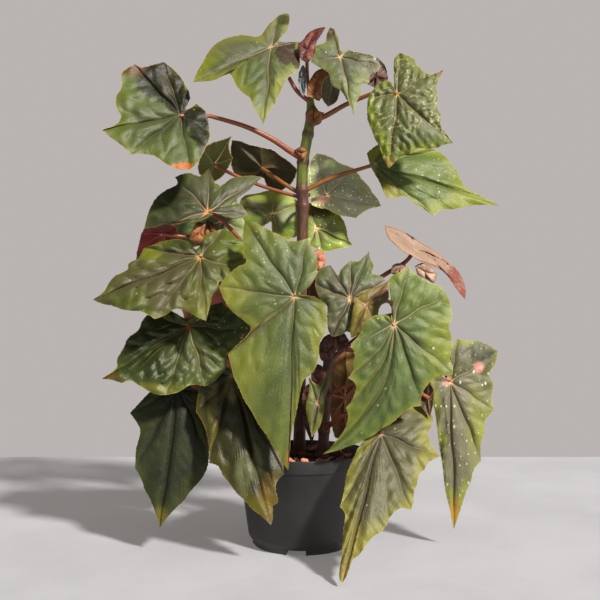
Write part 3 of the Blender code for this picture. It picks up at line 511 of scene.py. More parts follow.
            ((7, 165), (16, 158)),
            ((28, 173), (27, 158), (23, 144)),
            ((22, 130), (18, 116)),
            ((10, 105), (6, 122), (4, 138), (7, 150)),
        ),
    ),
    "leaf_23": Blade(
        (126, 144, -62), lean=(0.0, 0.2), droop=1, bow=0, top=-1,
        lobes=(
            ((121, 157), (128, 158)),
            ((132, 151), (131, 138)),
            ((128, 124), (122, 132), (118, 142)),
        ),
    ),
    "leaf_24": Blade(
        (43, 144, 8), lean=(0.0, 0.05), droop=1, bow=0, top=-1,
        lobes=(
            ((28, 164), (29, 180), (36, 192)),
            ((46, 195), (55, 186)),
            ((59, 162), (56, 138), (54, 118)),
            ((44, 102), (34, 104)),
            ((29, 122), (27, 144)),
        ),
    ),
    "leaf_25": Blade(
        (-88, 377, 22), lean=(0.0, -0.4), droop=3, bow=0, top=-1,
        lobes=(
            ((-99, 394), (-90, 399), (-80, 402)),
            ((-70, 406), (-73, 398), (-72, 390)),
            ((-69, 384), (-74, 374), (-79, 366)),
            ((-94, 358), (-104, 372)),
        ),
    ),
    "leaf_26": Blade(
        (-138, 308, -18), lean=(0.0, -0.5), droop=2, bow=0, top=-1,
        lobes=(
            ((-161, 308), (-155, 316), (-142, 320)),
            ((-126, 316), (-124, 304)),
            ((-134, 290), (-148, 281), (-165, 280)),
            ((-164, 295),),
        ),
    ),
    "leaf_31": Blade(
        (-82, 320, 34), lean=(0.0, 0.3), droop=6, bow=0, top=1,
        lobes=(
            ((-130, 308), (-124, 326), (-112, 342)),
            ((-98, 352), (-86, 358)),
            ((-74, 352), (-66, 344), (-62, 330)),
            ((-56, 312), (-62, 296)),
            ((-80, 292), (-102, 296), (-118, 292)),
        ),
    ),
    "leaf_27": Blade(
        (-70, 280, 62), lean=(0.0, -0.55), droop=-18, bow=0, top=-1,
        lobes=(
            ((-88, 164), (-99, 190), (-106, 212)),
            ((-118, 224), (-122, 246)),
            ((-120, 270), (-106, 288), (-88, 296), (-72, 286)),
            ((-52, 294), (-40, 274), (-36, 250)),
            ((-40, 224), (-54, 202), (-72, 182)),
        ),
    ),
    "leaf_28": Blade(
        (98, 224, 58), lean=(0.0, -0.5), droop=-18, bow=0, top=-1,
        lobes=(
            ((116, 118), (96, 138), (82, 158)),
            ((66, 170), (62, 190)),
            ((64, 212), (76, 224), (94, 230), (110, 236)),
            ((122, 228), (134, 210), (138, 190)),
            ((140, 166), (132, 146), (124, 132)),
        ),
    ),
    "leaf_29": Blade(
        (2, 280, 72), lean=(0.0, -0.5), droop=-18, bow=0, top=-1,
        lobes=(
            ((-2, 166), (-18, 190), (-30, 212)),
            ((-44, 224), (-48, 246)),
            ((-40, 272), (-26, 288), (-10, 292), (2, 285), (14, 280)),
            ((14, 264), (20, 236), (20, 212)),
            ((16, 196), (8, 180)),
        ),
    ),
    "leaf_30": Blade(
        (-80, 190, 66), lean=(0.0, -0.35), droop=-16, bow=0, top=-1,
        lobes=(
            ((-124, 68), (-138, 94), (-144, 118)),
            ((-150, 138), (-142, 160)),
            ((-130, 180), (-110, 192), (-90, 196), (-72, 198)),
            ((-50, 180), (-40, 154), (-44, 130)),
            ((-58, 118), (-80, 102), (-104, 84)),
        ),
    ),
}
print("leaves:", len(LEAVES))
# %% [markdown]
# Papery sheaths that once wrapped a young leaf cling to the nodes, and a dark curled leaf and a small young one sit by
# the growing tip. They are written down as the blades are.

# %% Sheath table
SHEATHS = {
    "apex_sheath": Blade(
        (12, 448, -18), lean=(0.0, 0.1), droop=-3, bow=0, top=1,
        lobes=(
            ((21, 474), (29, 467), (26, 452)),
            ((17, 441),),
            ((5, 446), (6, 458), (13, 470)),
        ),
    ),
    "node_sheath_1": Blade(
        (11, 422, -10), lean=(0.0, 0.0), droop=3, bow=0, top=1,
        lobes=(
            ((12, 438), (17, 431)),
            ((22, 430), (19, 419)),
            ((10, 415), (4, 421), (6, 430)),
        ),
    ),
    "node_sheath_2": Blade(
        (-1, 389, -6), lean=(0.0, 0.0), droop=2, bow=0, top=1,
        lobes=(
            ((-8, 392), (-1, 395)),
            ((6, 391), (1, 382)),
        ),
    ),
    "curled_leaf": Blade(
        (5, 492, -24), lean=(0.0, 0.4), droop=4, bow=0, top=1,
        lobes=(
            ((-4, 499), (1, 502), (6, 509)),
            ((13, 513), (23, 515), (19, 507), (15, 501)),
            ((13, 491), (7, 480)),
            ((-1, 482), (-4, 490)),
        ),
    ),
    "apex_strip": Blade(
        (1, 463, -15), lean=(0.0, 0.0), droop=1, bow=0, top=-1,
        lobes=(
            ((-3, 470), (1, 477)),
            ((4, 472), (4, 460)),
            ((2, 445), (-2, 450)),
            ((-4, 462),),
        ),
    ),
    "curl_sheath": Blade(
        (75, 466, -20), lean=(0.0, 0.2), droop=3, bow=0, top=-1,
        lobes=(
            ((65, 458), (68, 466), (72, 476)),
            ((75, 485), (83, 476)),
            ((86, 464), (82, 456)),
            ((73, 454),),
        ),
    ),
    "young_leaf": Blade(
        (30, 458, -25), lean=(0.0, -0.2), droop=2, bow=0, top=-1,
        lobes=(
            ((25, 466), (36, 464)),
            ((38, 450), (34, 440)),
            ((26, 435), (20, 444), (20, 458)),
        ),
    ),
    "petiole_scrap_1": Blade(
        (123, 270, -26), lean=(0.0, 0.3), droop=2, bow=0, top=1,
        lobes=(
            ((113, 276), (120, 279), (129, 276)),
            ((135, 268), (132, 259)),
            ((124, 263), (116, 267)),
        ),
    ),
    "petiole_scrap_2": Blade(
        (97, 273, -24), lean=(0.0, 0.3), droop=2, bow=0, top=1,
        lobes=(
            ((89, 269), (90, 276), (96, 279)),
            ((104, 277), (102, 268)),
            ((96, 265),),
        ),
    ),
    "petiole_scrap_3": Blade(
        (16, 281, -2), lean=(0.2, 0.2), droop=2, bow=0, top=1,
        lobes=(
            ((8, 286), (14, 292), (22, 289)),
            ((24, 280), (20, 272)),
            ((12, 271), (7, 278)),
        ),
    ),
    "left_sheath_1": Blade(
        (-102, 310, -28), lean=(0.1, 0.2), droop=3, bow=0, top=1,
        lobes=(
            ((-113, 302), (-110, 311), (-105, 320)),
            ((-96, 318), (-98, 309)),
            ((-96, 301), (-104, 297)),
        ),
    ),
    "left_sheath_2": Blade(
        (-92, 310, -18), lean=(-0.1, 0.2), droop=3, bow=0, top=1,
        lobes=(
            ((-95, 322), (-88, 318)),
            ((-85, 308), (-89, 299)),
            ((-97, 302), (-98, 312)),
        ),
    ),
    "right_sheath_1": Blade(
        (25, 190, -28), lean=(0.1, 0.1), droop=3, bow=0, top=1,
        lobes=(
            ((16, 194), (21, 204), (29, 208)),
            ((36, 201), (34, 190)),
            ((28, 180), (19, 182)),
        ),
    ),
    "right_sheath_2": Blade(
        (37, 199, -42), lean=(0.1, 0.1), droop=3, bow=0, top=1,
        lobes=(
            ((34, 208), (41, 210)),
            ((47, 202), (44, 192)),
            ((38, 188), (32, 196)),
        ),
    ),
    "right_sheath_3": Blade(
        (17, 162, -19), lean=(-0.1, 0.1), droop=2, bow=0, top=1,
        lobes=(
            ((9, 169), (15, 178), (23, 172)),
            ((24, 160), (21, 150)),
            ((12, 152),),
        ),
    ),
    "right_sheath_4": Blade(
        (10, 142, -14), lean=(0.1, 0.1), droop=3, bow=0, top=1,
        lobes=(
            ((1, 150), (6, 158), (14, 154)),
            ((16, 140), (15, 118)),
            ((10, 98), (4, 112)),
            ((0, 133),),
        ),
    ),
}

print("sheaths:", len(SHEATHS))


# %% [markdown]
# The margin needs more than its traced points: a smooth line runs through them from tip to tip, and small irregular
# teeth stand out of it. A Catmull-Rom curve passes through every point that it is given, so it keeps the lobes where
# the solid has them.

# %% Margin
TOOTH = 1.0
TOOTH_GAP = 15.0
MARGIN_STEP = 1.35
TEETH_EVERY = 4.6
TEETH_HEIGHT = 0.75


def smooth_span(before, start, end, after, t):
    """A Catmull-Rom span: the points at these shares t of the way from start to end."""
    t = np.asarray(t)[:, None]
    return 0.5 * (
        2 * start + (end - before) * t + (2 * before - 5 * start + 4 * end - after) * t**2
        + (3 * start - before - 3 * end + after) * t**3
    )


def traced_margin(blade):
    """Each lobe's points with their phase, 0 at its tip and 1 at the next, and the bulge between far points."""
    centre = blade.joint[:2]
    marks = [(place, index / len(lobe), number) for number, lobe in enumerate(blade.lobes)
             for index, place in enumerate(lobe)]
    full = []
    for index, (place, phase, number) in enumerate(marks):
        full.append((place, phase, number))
        after, after_phase, _ = marks[(index + 1) % len(marks)]
        along = after - place
        middle = (place + after) / 2
        length = np.hypot(*along)
        outward = np.array((-along[1], along[0])) / length
        faces_out = outward @ (middle - centre) / np.hypot(*(middle - centre))
        if length > TOOTH_GAP and faces_out > 0.5:
            full.append((middle + outward * TOOTH, (phase + (after_phase or 1.0)) / 2, number))
    return full


def fine_margin(blade, step, teeth):
    """The margin's points, each with its phase and its lobe's number, with small teeth."""
    full = traced_margin(blade)
    places, phases, numbers = [], [], []
    for number in range(len(blade.lobes)):
        line = [(place, phase) for place, phase, lobe in full if lobe == number]
        line.append((blade.lobes[(number + 1) % len(blade.lobes)][0], 1.0))
        for index in range(len(line) - 1):
            (start, phase), (end, next_phase) = line[index], line[index + 1]
            before = line[index - 1][0] if index else start
            after = line[index + 2][0] if index + 2 < len(line) else end
            count = max(2, round(np.hypot(*(end - start)) / step))
            t = np.arange(count) / count
            places.append(smooth_span(before, start, end, after, t))
            phases.append(phase + (next_phase - phase) * t)
            numbers.append(np.full(count, number))
    places, phases, numbers = np.vstack(places), np.concatenate(phases), np.concatenate(numbers)
    ahead = np.roll(places, -1, 0) - places
    length = np.hypot(*ahead.T)
    run = np.cumsum(length) - length
    outward = np.stack((-ahead[:, 1], ahead[:, 0]), 1) / np.maximum(length, 1e-6)[:, None]
    beat = run / TEETH_EVERY + 0.35 * np.sin(run * 0.31 + blade.joint[0])
    height = TEETH_HEIGHT * (0.65 + 0.35 * np.sin(run * 0.13 + blade.joint[1]))
    tooth = (1 - np.abs(2 * (beat % 1) - 1)) ** 1.4 * height - 0.3
    tooth *= teeth * np.clip(np.minimum(phases, 1 - phases) * 12, 0, 1)
    return places + outward * tooth[:, None], phases, numbers, run


print("margin points of leaf_12:", len(fine_margin(LEAVES["leaf_12"], MARGIN_STEP, 1.0)[0]))


# %% [markdown]
# A blade isn't flat between its ribs. It domes up in each sector, dips along every rib, puckers between the side
# veins like a quilt, and its margin waves. All of that is a height over the plain blade, worked out from where a point
# lies: its distance along the nearest rib, its distance off that rib, and its share of the way to the margin.

# %% Blade relief
BULGE = 3.5
BLADE_RINGS = 26
SMALL_LEAF = 60.0
VEIN_SLANT = 0.75


def to_space(across, up, depth):
    """The points that the eye sees at these places on the elevation, this far behind its plane."""
    reach = (depth - EYE[1]) / -EYE[1]
    return np.stack((EYE[0] + reach * (across - EYE[0]), depth, EYE[2] + reach * (up - EYE[2])), -1)


def ripple(x, y, size, seed):
    """A smooth, repeatable unevenness from -1 to 1, with swells of about this size."""
    draw = np.random.default_rng(seed)
    total = 0.0
    for turn in draw.uniform(0, 2 * np.pi, 6):
        across = (x * np.cos(turn) + y * np.sin(turn)) / size * draw.uniform(0.7, 1.4)
        total = total + np.sin(2 * np.pi * across + draw.uniform(0, 2 * np.pi))
    return total / 6 * 1.6


def slide(turned, radius, share, wander, seed):
    """How far each grid point slides sideways, so that the ribs run in slight curves from joint to tip."""
    swing = np.sin(2 * np.pi * 1.1 * share + 2 * turned[:, None] + seed)
    swing = 0.65 * swing + 0.35 * np.sin(2 * np.pi * 2.3 * share - 3 * turned[:, None] + 1.7 * seed)
    return wander * 4 * share * (1 - share) * swing * np.clip(radius[:, None] / SMALL_LEAF, 0.1, 1.0)


def blade_grid(blade, places, phases, numbers, shares, wander=0.0, seed=0):
    """Where each point of the blade's grid lies on the elevation, and its measures from the ribs."""
    centre = blade.joint[:2]
    tips = np.array([lobe[0] for lobe in blade.lobes]) - centre
    reach_of = np.hypot(*tips.T)
    longest = reach_of.max()
    axis = tips[reach_of.argmax()] / longest
    side = np.array((-axis[1], axis[0]))

    def straight_of(points):
        along = np.clip((points - centre) @ axis / longest, 0, 1)
        return points - side * (blade.bow * 4 * along * (1 - along))[:, None], along

    straight, along = straight_of(places)
    away = straight - centre
    share = shares[None, :]
    reached = along[:, None] * share
    bend = (blade.bow * 4 * reached * (1 - reached))[..., None] * side
    turned = np.arctan2(away[:, 1], away[:, 0])
    radius = np.hypot(*away.T)
    sideways = np.stack((-away[:, 1], away[:, 0]), 1) / radius[:, None]
    slid = slide(turned, radius, share, wander, seed)
    spot = centre + away[:, None, :] * share[..., None] + bend + sideways[:, None, :] * slid[..., None]
    rib_away = straight_of(tips + centre)[0] - centre
    rib_turn = np.arctan2(rib_away[:, 1], rib_away[:, 0])
    following = (numbers + 1) % len(tips)
    gap_before = np.abs((turned - rib_turn[numbers] + np.pi) % (2 * np.pi) - np.pi)
    gap_after = np.abs((turned - rib_turn[following] + np.pi) % (2 * np.pi) - np.pi)
    gap = np.minimum(np.minimum(gap_before, gap_after), np.pi / 2)
    return {
        "spot": spot,
        "flat": spot - centre,
        "share": np.broadcast_to(share, spot.shape[:2]),
        "along": radius[:, None] * share * np.cos(gap)[:, None],
        "off": radius[:, None] * share * np.sin(gap)[:, None],
        "size": np.hypot(*(places - centre).T)[:, None] / longest,
        "reach": np.hypot(*np.moveaxis(spot - centre, -1, 0)) / longest,
        "phase": phases[:, None],
        "longest": longest,
    }


def blade_relief(grid, run, look):
    """How far each point stands out of the plain blade on its upper side."""
    share, off, along = grid["share"], grid["off"], grid["along"]
    scale = min(grid["longest"] / SMALL_LEAF, 1.0)
    dome = BULGE * grid["size"] * np.sin(np.pi * grid["phase"]) * 4 * share * (1 - share)
    groove = -0.9 * scale * np.exp(-((off / 1.7) ** 2)) * (1 - share) ** 0.4
    flat = grid["flat"]
    uneven = 0.22 * ripple(flat[..., 0], flat[..., 1], 30.0, look.seed + 2)
    quilt = np.abs(np.sin(np.pi * ((along - VEIN_SLANT * off) / look.spacing + uneven))) ** 0.7
    fade = np.clip(off / 6, 0, 1) * (1 - share**9)
    swell = look.pucker * scale * (quilt * fade - 0.35)
    margin_wave = look.wave * scale * share**3 * ripple(run, run * 0.0, 34.0, look.seed)[:, None]
    crease = look.crease * scale * share * ripple(flat[..., 0], flat[..., 1], look.crease_size, look.seed + 1)
    return dome + groove + swell + margin_wave + crease


print("rings per blade:", BLADE_RINGS)

# %% [markdown]
# The blade becomes a closed sheet: the grid's front, the same grid set back by its thickness, and a rim round the
# margin. Both faces keep their own finish, because a begonia is green above and wine red below. The measures that the
# finishes need are stored at the points, and the blade's flat layout becomes its UV map.

# %% Blade mesh
BLADE_THICK = 0.55
RIM_THICK = 0.28


def grid_normals(points):
    """A normal at each grid point, on the eye's side."""
    round_way = np.roll(points, -1, 0) - np.roll(points, 1, 0)
    out_way = np.gradient(points, axis=1)
    normal = np.cross(round_way, out_way)
    normal /= np.maximum(np.linalg.norm(normal, axis=-1), 1e-9)[..., None]
    mean = normal.mean((0, 1))
    return normal if mean[1] < 0 else -normal


def sheet_object(name, front, normal, thick, measures, flat, upper, under):
    """A closed sheet from a grid of columns round a middle: front, back and rim, with its measures."""
    count, rings = front.shape[:2]
    size = 1 + count * (rings - 1)
    heart = front[:, 0].mean(0)
    heart_normal = normal[:, 1].mean(0)
    heart_normal /= np.linalg.norm(heart_normal)
    face = np.vstack((heart[None], front[:, 1:].reshape(-1, 3)))
    back = face - np.vstack((heart_normal[None] * thick[0, 0], (normal * thick[..., None])[:, 1:].reshape(-1, 3)))
    column = np.arange(count)
    after = (column + 1) % count
    ring = np.arange(rings - 2)
    first = 1 + column[:, None] * (rings - 1) + ring
    second = 1 + after[:, None] * (rings - 1) + ring
    quads = np.stack((first, second, second + 1, first + 1), -1).reshape(-1, 4)
    edge = rings - 2
    outer, outer_after = 1 + column * (rings - 1) + edge, 1 + after * (rings - 1) + edge
    fan = np.stack((np.zeros(count, int), 1 + after * (rings - 1), 1 + column * (rings - 1)), -1)
    rim = np.stack((outer, outer_after, outer_after + size, outer + size), -1)
    faces = [tuple(f) for f in fan] + [tuple(f) for f in quads[:, ::-1]]
    faces += [tuple(f) for f in fan[:, ::-1] + size] + [tuple(f) for f in quads + size]
    faces += [tuple(f) for f in rim]
    mesh = bpy.data.meshes.new(name)
    mesh.from_pydata((np.vstack((face, back)) * MM).tolist(), [], faces)
    for label, values in measures.items():
        values = np.broadcast_to(values, (count, rings))
        one = np.concatenate((values[:1, 0], values[:, 1:].reshape(-1)))
        layer = mesh.attributes.new(label, "FLOAT", "POINT")
        layer.data.foreach_set("value", np.tile(one, 2).astype(np.float32))
    layout = np.vstack((flat[:1, 0], flat[:, 1:].reshape(-1, 2)))
    corner = np.empty(len(mesh.loops), np.int32)
    mesh.loops.foreach_get("vertex_index", corner)
    layer = mesh.uv_layers.new(name="blade")
    layer.data.foreach_set("uv", (np.tile(layout, (2, 1))[corner] * MM).astype(np.float32).ravel())
    mesh.materials.append(upper)
    mesh.materials.append(under)
    sides = np.zeros(len(faces), np.int32)
    half = len(fan) + len(quads)
    sides[half:2 * half] = 1
    mesh.polygons.foreach_set("material_index", sides)
    mesh.polygons.foreach_set("use_smooth", np.ones(len(faces), bool))
    mesh.set_sharp_from_angle(angle=math.radians(60))
    return place_mesh(name, mesh)


def build_blade(name, blade, look, upper, under):
    """The fine blade."""
    scale = max(np.hypot(*(lobe[0] - blade.joint[:2])) for lobe in blade.lobes) / SMALL_LEAF
    step = MARGIN_STEP if scale > 0.7 else MARGIN_STEP * 0.75
    places, phases, numbers, run = fine_margin(blade, step, look.teeth)
    rings = BLADE_RINGS if scale > 0.7 else BLADE_RINGS * 2 // 3
    shares = 1 - (1 - np.linspace(0, 1, rings)) ** 1.2
    grid = blade_grid(blade, places, phases, numbers, shares, look.wander, look.seed)
    relief = blade_relief(grid, run, look)
    depth = blade.joint[2] + grid["flat"] @ blade.lean + blade.droop * grid["reach"] ** 2 - blade.top * relief
    front = to_space(grid["spot"][..., 0], grid["spot"][..., 1], depth)
    normal = grid_normals(front)
    thick = BLADE_THICK + (RIM_THICK - BLADE_THICK) * grid["share"] ** 4
    outline = np.hypot(*(places - blade.joint[:2]).T)
    ahead = np.roll(places, -1, 0) - np.roll(places, 1, 0)
    away = places - blade.joint[:2]
    slant = np.abs(ahead[:, 0] * away[:, 1] - ahead[:, 1] * away[:, 0])
    slant /= np.maximum(np.hypot(*ahead.T) * outline, 1e-6)
    measures = {
        "rib_off": grid["off"],
        "rib_along": grid["along"],
        "share": grid["share"],
        "edge_in": (1 - grid["share"]) * (outline * np.clip(slant, 0.15, 1))[:, None],
    }
    facing = (upper, under) if blade.top > 0 else (under, upper)
    return sheet_object(name, front, normal, thick, measures, grid["flat"], *facing)


print("blade builder ready")

# %% [markdown]
# The upper side is built up as on the real leaf: a green that drifts between dark and pale, a smoky grey brown along
# the ribs, yellow green towards the margin, pale dots, thin pale ribs with a star where the petiole meets the blade,
# and a thin, broken margin line. Each blade has its own amounts of these, because young, old and shaded leaves differ.
# Larger marks that only one leaf has, such as a dried lobe, an orange fold or a painted shadow, are written down as
# soft ellipses at their places on the elevation. A blade's tone, which multiplies all its colours, also holds painted
# light or shade.

# %% How each blade looks
class Look:
    """The amounts that make one blade differ from the next."""

    def __init__(self, seed, **given):
        self.seed = seed
        # The tone multiplies all the blade's colours, and the shared tones also hold painted light and shade.
        self.tone = (1.0, 1.0, 1.0)
        self.green = (0.050, 0.092, 0.018)
        self.lift = (0.135, 0.205, 0.042)
        self.smoke = (0.095, 0.086, 0.052)
        self.smoke_amount = 0.6
        self.band = 11.0
        self.yellow = (0.27, 0.33, 0.022)
        self.yellow_amount = 0.6
        self.yellow_reach = 13.0
        self.dots = 0.3
        self.dot_size = 7.0
        self.dot_length = 1.0
        self.dot_tint = (0.66, 0.70, 0.52)
        self.dot_home = None
        self.margin = (0.50, 0.36, 0.13)
        self.margin_amount = 0.6
        self.rib = (0.42, 0.36, 0.22)
        self.rib_amount = 0.55
        self.rib_width = 0.7
        self.star = 6.0
        self.star_tint = (0.70, 0.50, 0.27)
        self.web = 0.0
        self.under = (0.11, 0.020, 0.018)
        self.under_olive = 0.5
        self.gloss = 0.42
        self.pucker = 1.3
        self.wave = 1.8
        self.spacing = 12.0
        self.crease = 0.5
        self.crease_size = 15.0
        self.teeth = 1.0
        self.wander = 1.5
        self.patches = ()
        for label, value in given.items():
            setattr(self, label, value)


# %% Marks that both sides share
def side_veins(finish, look, off, along, wander):
    """The distance, in millimetres, from the nearest side vein."""
    beat = ((along - off * VEIN_SLANT) / look.spacing + wander * 0.5).calc("FRACT")
    return (0.5 - (beat - 0.5).calc("ABSOLUTE")) * look.spacing


def flat_place(finish):
    """Where the point lies on the elevation, in millimetres from the blade's joint."""
    return finish.vector("SCALE", finish.add("ShaderNodeUVMap", {"uv_map": "blade"}).outputs[0], scale=1.0 / MM)


def ellipse(finish, home, joint):
    """How far the point lies from a place on the elevation, as a share of the ellipse's reach."""
    (across, up), (wide, tall) = home
    squashed = finish.vector("MULTIPLY", flat_place(finish), (1.0 / wide, 1.0 / tall, 0.0))
    return finish.vector("DISTANCE", squashed, ((across - joint[0]) / wide, (up - joint[1]) / tall, 0.0))


def paint_patches(finish, colour, look, joint, wander, fine):
    """Soft ellipses: place, (half width, half height), tint, amount and how soft the edge is."""
    for place, size, tint, amount, soft in look.patches:
        reach = ellipse(finish, (place, size), joint) + wander * 1.2 + fine * 0.5 - 0.25
        colour = finish.mix(reach.step(1.0 + soft, 1.0 - soft) * amount, colour, tint)
    return colour


# %% Upper side
def leaf_top(name, look, joint):
    """The upper side of a blade."""
    finish = Finish(name, Roughness=look.gloss, Specular_IOR_Level=0.36)
    place = finish.place(1.0 / MM)
    off, along = finish.attribute("rib_off"), finish.attribute("rib_along")
    edge, share = finish.attribute("edge_in"), finish.attribute("share")
    wander = finish.noise(place, 0.05, 4.0) - 0.5
    drift = finish.noise(finish.vector("ADD", place, (31.0 * look.seed, 0.0, 0.0)), 0.022, 3.0) - 0.5
    fine = finish.noise(place, 0.40, 5.0, 0.62)
    grain = finish.noise(place, 1.1, 3.0, 0.6)
    side = side_veins(finish, look, off, along, wander)
    colour = finish.mix((wander * 1.8 + drift * 2.0 + 0.45).clamped(), look.green, look.lift)
    smoke = (off / (look.band * (1.2 - share * 0.8)) + wander * 1.8 + fine * 0.6 - 0.3).step(1.1, 0.1)
    side_smoke = (side + fine * 2.5).step(4.2, 0.6) * (edge + wander * 10.0).step(2.0, 16.0) * 0.45
    smoke = smoke.calc("MAXIMUM", side_smoke) * look.smoke_amount
    colour = finish.mix(smoke, colour, look.smoke)
    reach = look.yellow_reach
    yellow = (edge + wander * reach * 2.2 + drift * reach * 1.6).step(reach, 0.0) * look.yellow_amount
    colour = finish.mix(yellow, colour, look.yellow)
    colour = paint_patches(finish, colour, look, joint, wander, fine)
    colour = finish.mix((fine * 0.6 + grain * 0.7).step(0.55, 0.95) * 0.45, colour, look.lift)
    colour = finish.mix((fine * 0.6 + grain * 0.7).step(0.62, 0.30) * 0.42, colour, (0.020, 0.030, 0.008))
    if look.web:
        web = (finish.noise(place, 0.07, 3.0) - 0.5).calc("ABSOLUTE").step(0.022, 0.002) * share.step(0.1, 0.4)
        colour = finish.mix(web * look.web, colour, (0.42, 0.42, 0.34))
    if look.dots:
        spread = finish.vector("MULTIPLY", flat_place(finish), (1.0, 1.0 / look.dot_length, 0.0))
        cells = finish.cells(spread, 1.0 / look.dot_size, "2D")
        chance = finish.add("ShaderNodeSeparateColor", None, Color=cells.outputs["Color"])
        chosen = Flow(finish, chance.outputs["Red"]).step(1.0 - look.dots, 1.0 - look.dots + 0.02)
        width = Flow(finish, chance.outputs["Green"]).calc("POWER", 2.0) * 0.15 + 0.07
        dot = ((Flow(finish, cells.outputs["Distance"]) + fine * 0.12 - 0.06) / width).step(1.0, 0.5) * chosen
        crowd = (drift * 3.0 + 0.65).clamped()
        if look.dot_home:
            crowd = ellipse(finish, look.dot_home, joint).step(1.6, 0.8) * 0.85 + 0.15
        colour = finish.mix(dot * off.step(0.8, 2.4) * crowd, colour, look.dot_tint)
    rib_width = (1.0 - share) * look.rib_width + 0.16
    rib = (off / rib_width).step(1.0, 0.3) * (share + wander * 0.5).step(0.95, 0.15)
    colour = finish.mix(rib * look.rib_amount, colour, look.rib)
    side_rib = (side / (0.40 - share * 0.2)).step(1.0, 0.2) * off.step(0.4, 1.2) * (wander * 3.0 + 0.5).clamped()
    colour = finish.mix(side_rib * 0.3 * look.rib_amount, colour, look.rib)
    star = (off * 3.4 + along + fine * 2.0).step(look.star + 1.5, look.star * 0.35 + 1.0)
    colour = finish.mix(star, colour, look.star_tint)
    rim = (edge + fine * 0.9 - 0.3).step(1.0, 0.35) * (wander * 3.5 + 0.75).clamped() * look.margin_amount
    colour = finish.mix(rim, colour, look.margin)
    height = grain * 0.30 + fine * 0.45 - rib * 0.3 - (side / 1.6).step(1.0, 0.0) * 0.1
    # The tone multiplies the finished colour, and with it paints the light or shade that it holds.
    return finish.feed(
        Base_Color=finish.vector("MULTIPLY", colour, look.tone), Roughness=fine * 0.22 + (look.gloss - 0.07),
        Normal=finish.bump(height, 0.0011, 0.8),
    )


# %% Underside
def leaf_under(name, look, joint):
    """The underside: wine red to olive brown, with raised ribs."""
    finish = Finish(name, Roughness=0.5, Specular_IOR_Level=0.36)
    place = finish.place(1.0 / MM)
    off, along = finish.attribute("rib_off"), finish.attribute("rib_along")
    edge, share = finish.attribute("edge_in"), finish.attribute("share")
    wander = finish.noise(place, 0.05, 4.0) - 0.5
    fine = finish.noise(place, 0.5, 5.0, 0.6)
    deep = tuple(0.4 * part for part in look.under)
    colour = finish.mix((wander * 2.6 + 0.5).clamped(), look.under, deep)
    olive = (0.070, 0.062, 0.012)
    colour = finish.mix((wander * 3.0 + fine * 0.4).step(-0.1, 0.7) * look.under_olive, colour, olive)
    side = side_veins(finish, look, off, along, wander)
    rib = (off / ((1.0 - share) * 1.1 + 0.3)).step(1.0, 0.3)
    side_rib = (side / 0.6).step(1.0, 0.2) * 0.5
    ribs = rib.calc("MAXIMUM", side_rib)
    colour = finish.mix(ribs * 0.5, colour, tuple(min(1.0, 0.02 + 2.2 * part) for part in look.under))
    colour = finish.mix((edge + fine * 0.5).step(1.0, 0.4) * look.margin_amount, colour, look.margin)
    height = ribs * 0.8 + fine * 0.3
    # The tone multiplies the finished colour, and with it paints the light or shade that it holds.
    return finish.feed(
        Base_Color=finish.vector("MULTIPLY", colour, look.tone), Roughness=fine * 0.2 + 0.42,
        Normal=finish.bump(height, 0.0008, 0.7),
    )


print("leaf finishes ready")

# %% [markdown]
# What each blade shows in the photograph. A mark is its place (across, up) on the elevation, its half width and half
# height, its tint, its amount and the softness of its edge. Blades that aren't listed take the plain look.

# %% Looks of the blades
# Tints that several marks share
# A near-black tint, used as painted shadow where another leaf or a fold shades a blade.
PAINTED_SHADOW = (0.010, 0.007, 0.002)
DEEP = (0.020, 0.030, 0.008)
MAROON = (0.045, 0.014, 0.010)
RUST = (0.16, 0.045, 0.022)
RED = (0.36, 0.050, 0.030)
PINK = (0.68, 0.30, 0.26)
ORANGE = (0.78, 0.20, 0.050)
AMBER = (0.46, 0.24, 0.025)
GOLD = (0.36, 0.30, 0.020)
LIME = (0.30, 0.36, 0.025)
FRESH = (0.150, 0.220, 0.030)
FERN = (0.080, 0.135, 0.040)
TEAL = (0.055, 0.105, 0.040)
MOSS = (0.065, 0.085, 0.012)
OLIVE = (0.060, 0.040, 0.008)
OLIVE_GREY = (0.115, 0.108, 0.048)
ASH = (0.145, 0.150, 0.105)
# A pale grey tint, used as painted sheen on a shaded blade.
PAINTED_SHEEN = (0.250, 0.265, 0.185)
SMOKE = (0.130, 0.112, 0.080)

# Tones that several blades share: each darkens, warms or lifts all the colours of a blade. Besides the blade's own tone
# they paint the light and shade on it: the sunlit, lifted and brightened tones are painted light, the shaded ones
# painted shade.
SUNLIT = (0.75, 0.70, 0.65)
MELLOW = (0.60, 0.52, 0.50)
LOWERED = (0.50, 0.48, 0.50)
SHADED = (0.50, 0.46, 0.30)
WARM_SHADE = (0.72, 0.72, 0.45)
DEEP_SHADE = (0.38, 0.37, 0.20)
PAINTED_LIGHT_LIFT = (1.5, 1.4, 1.2)
PAINTED_LIGHT_BOOST = (2.5, 2.4, 2.2)

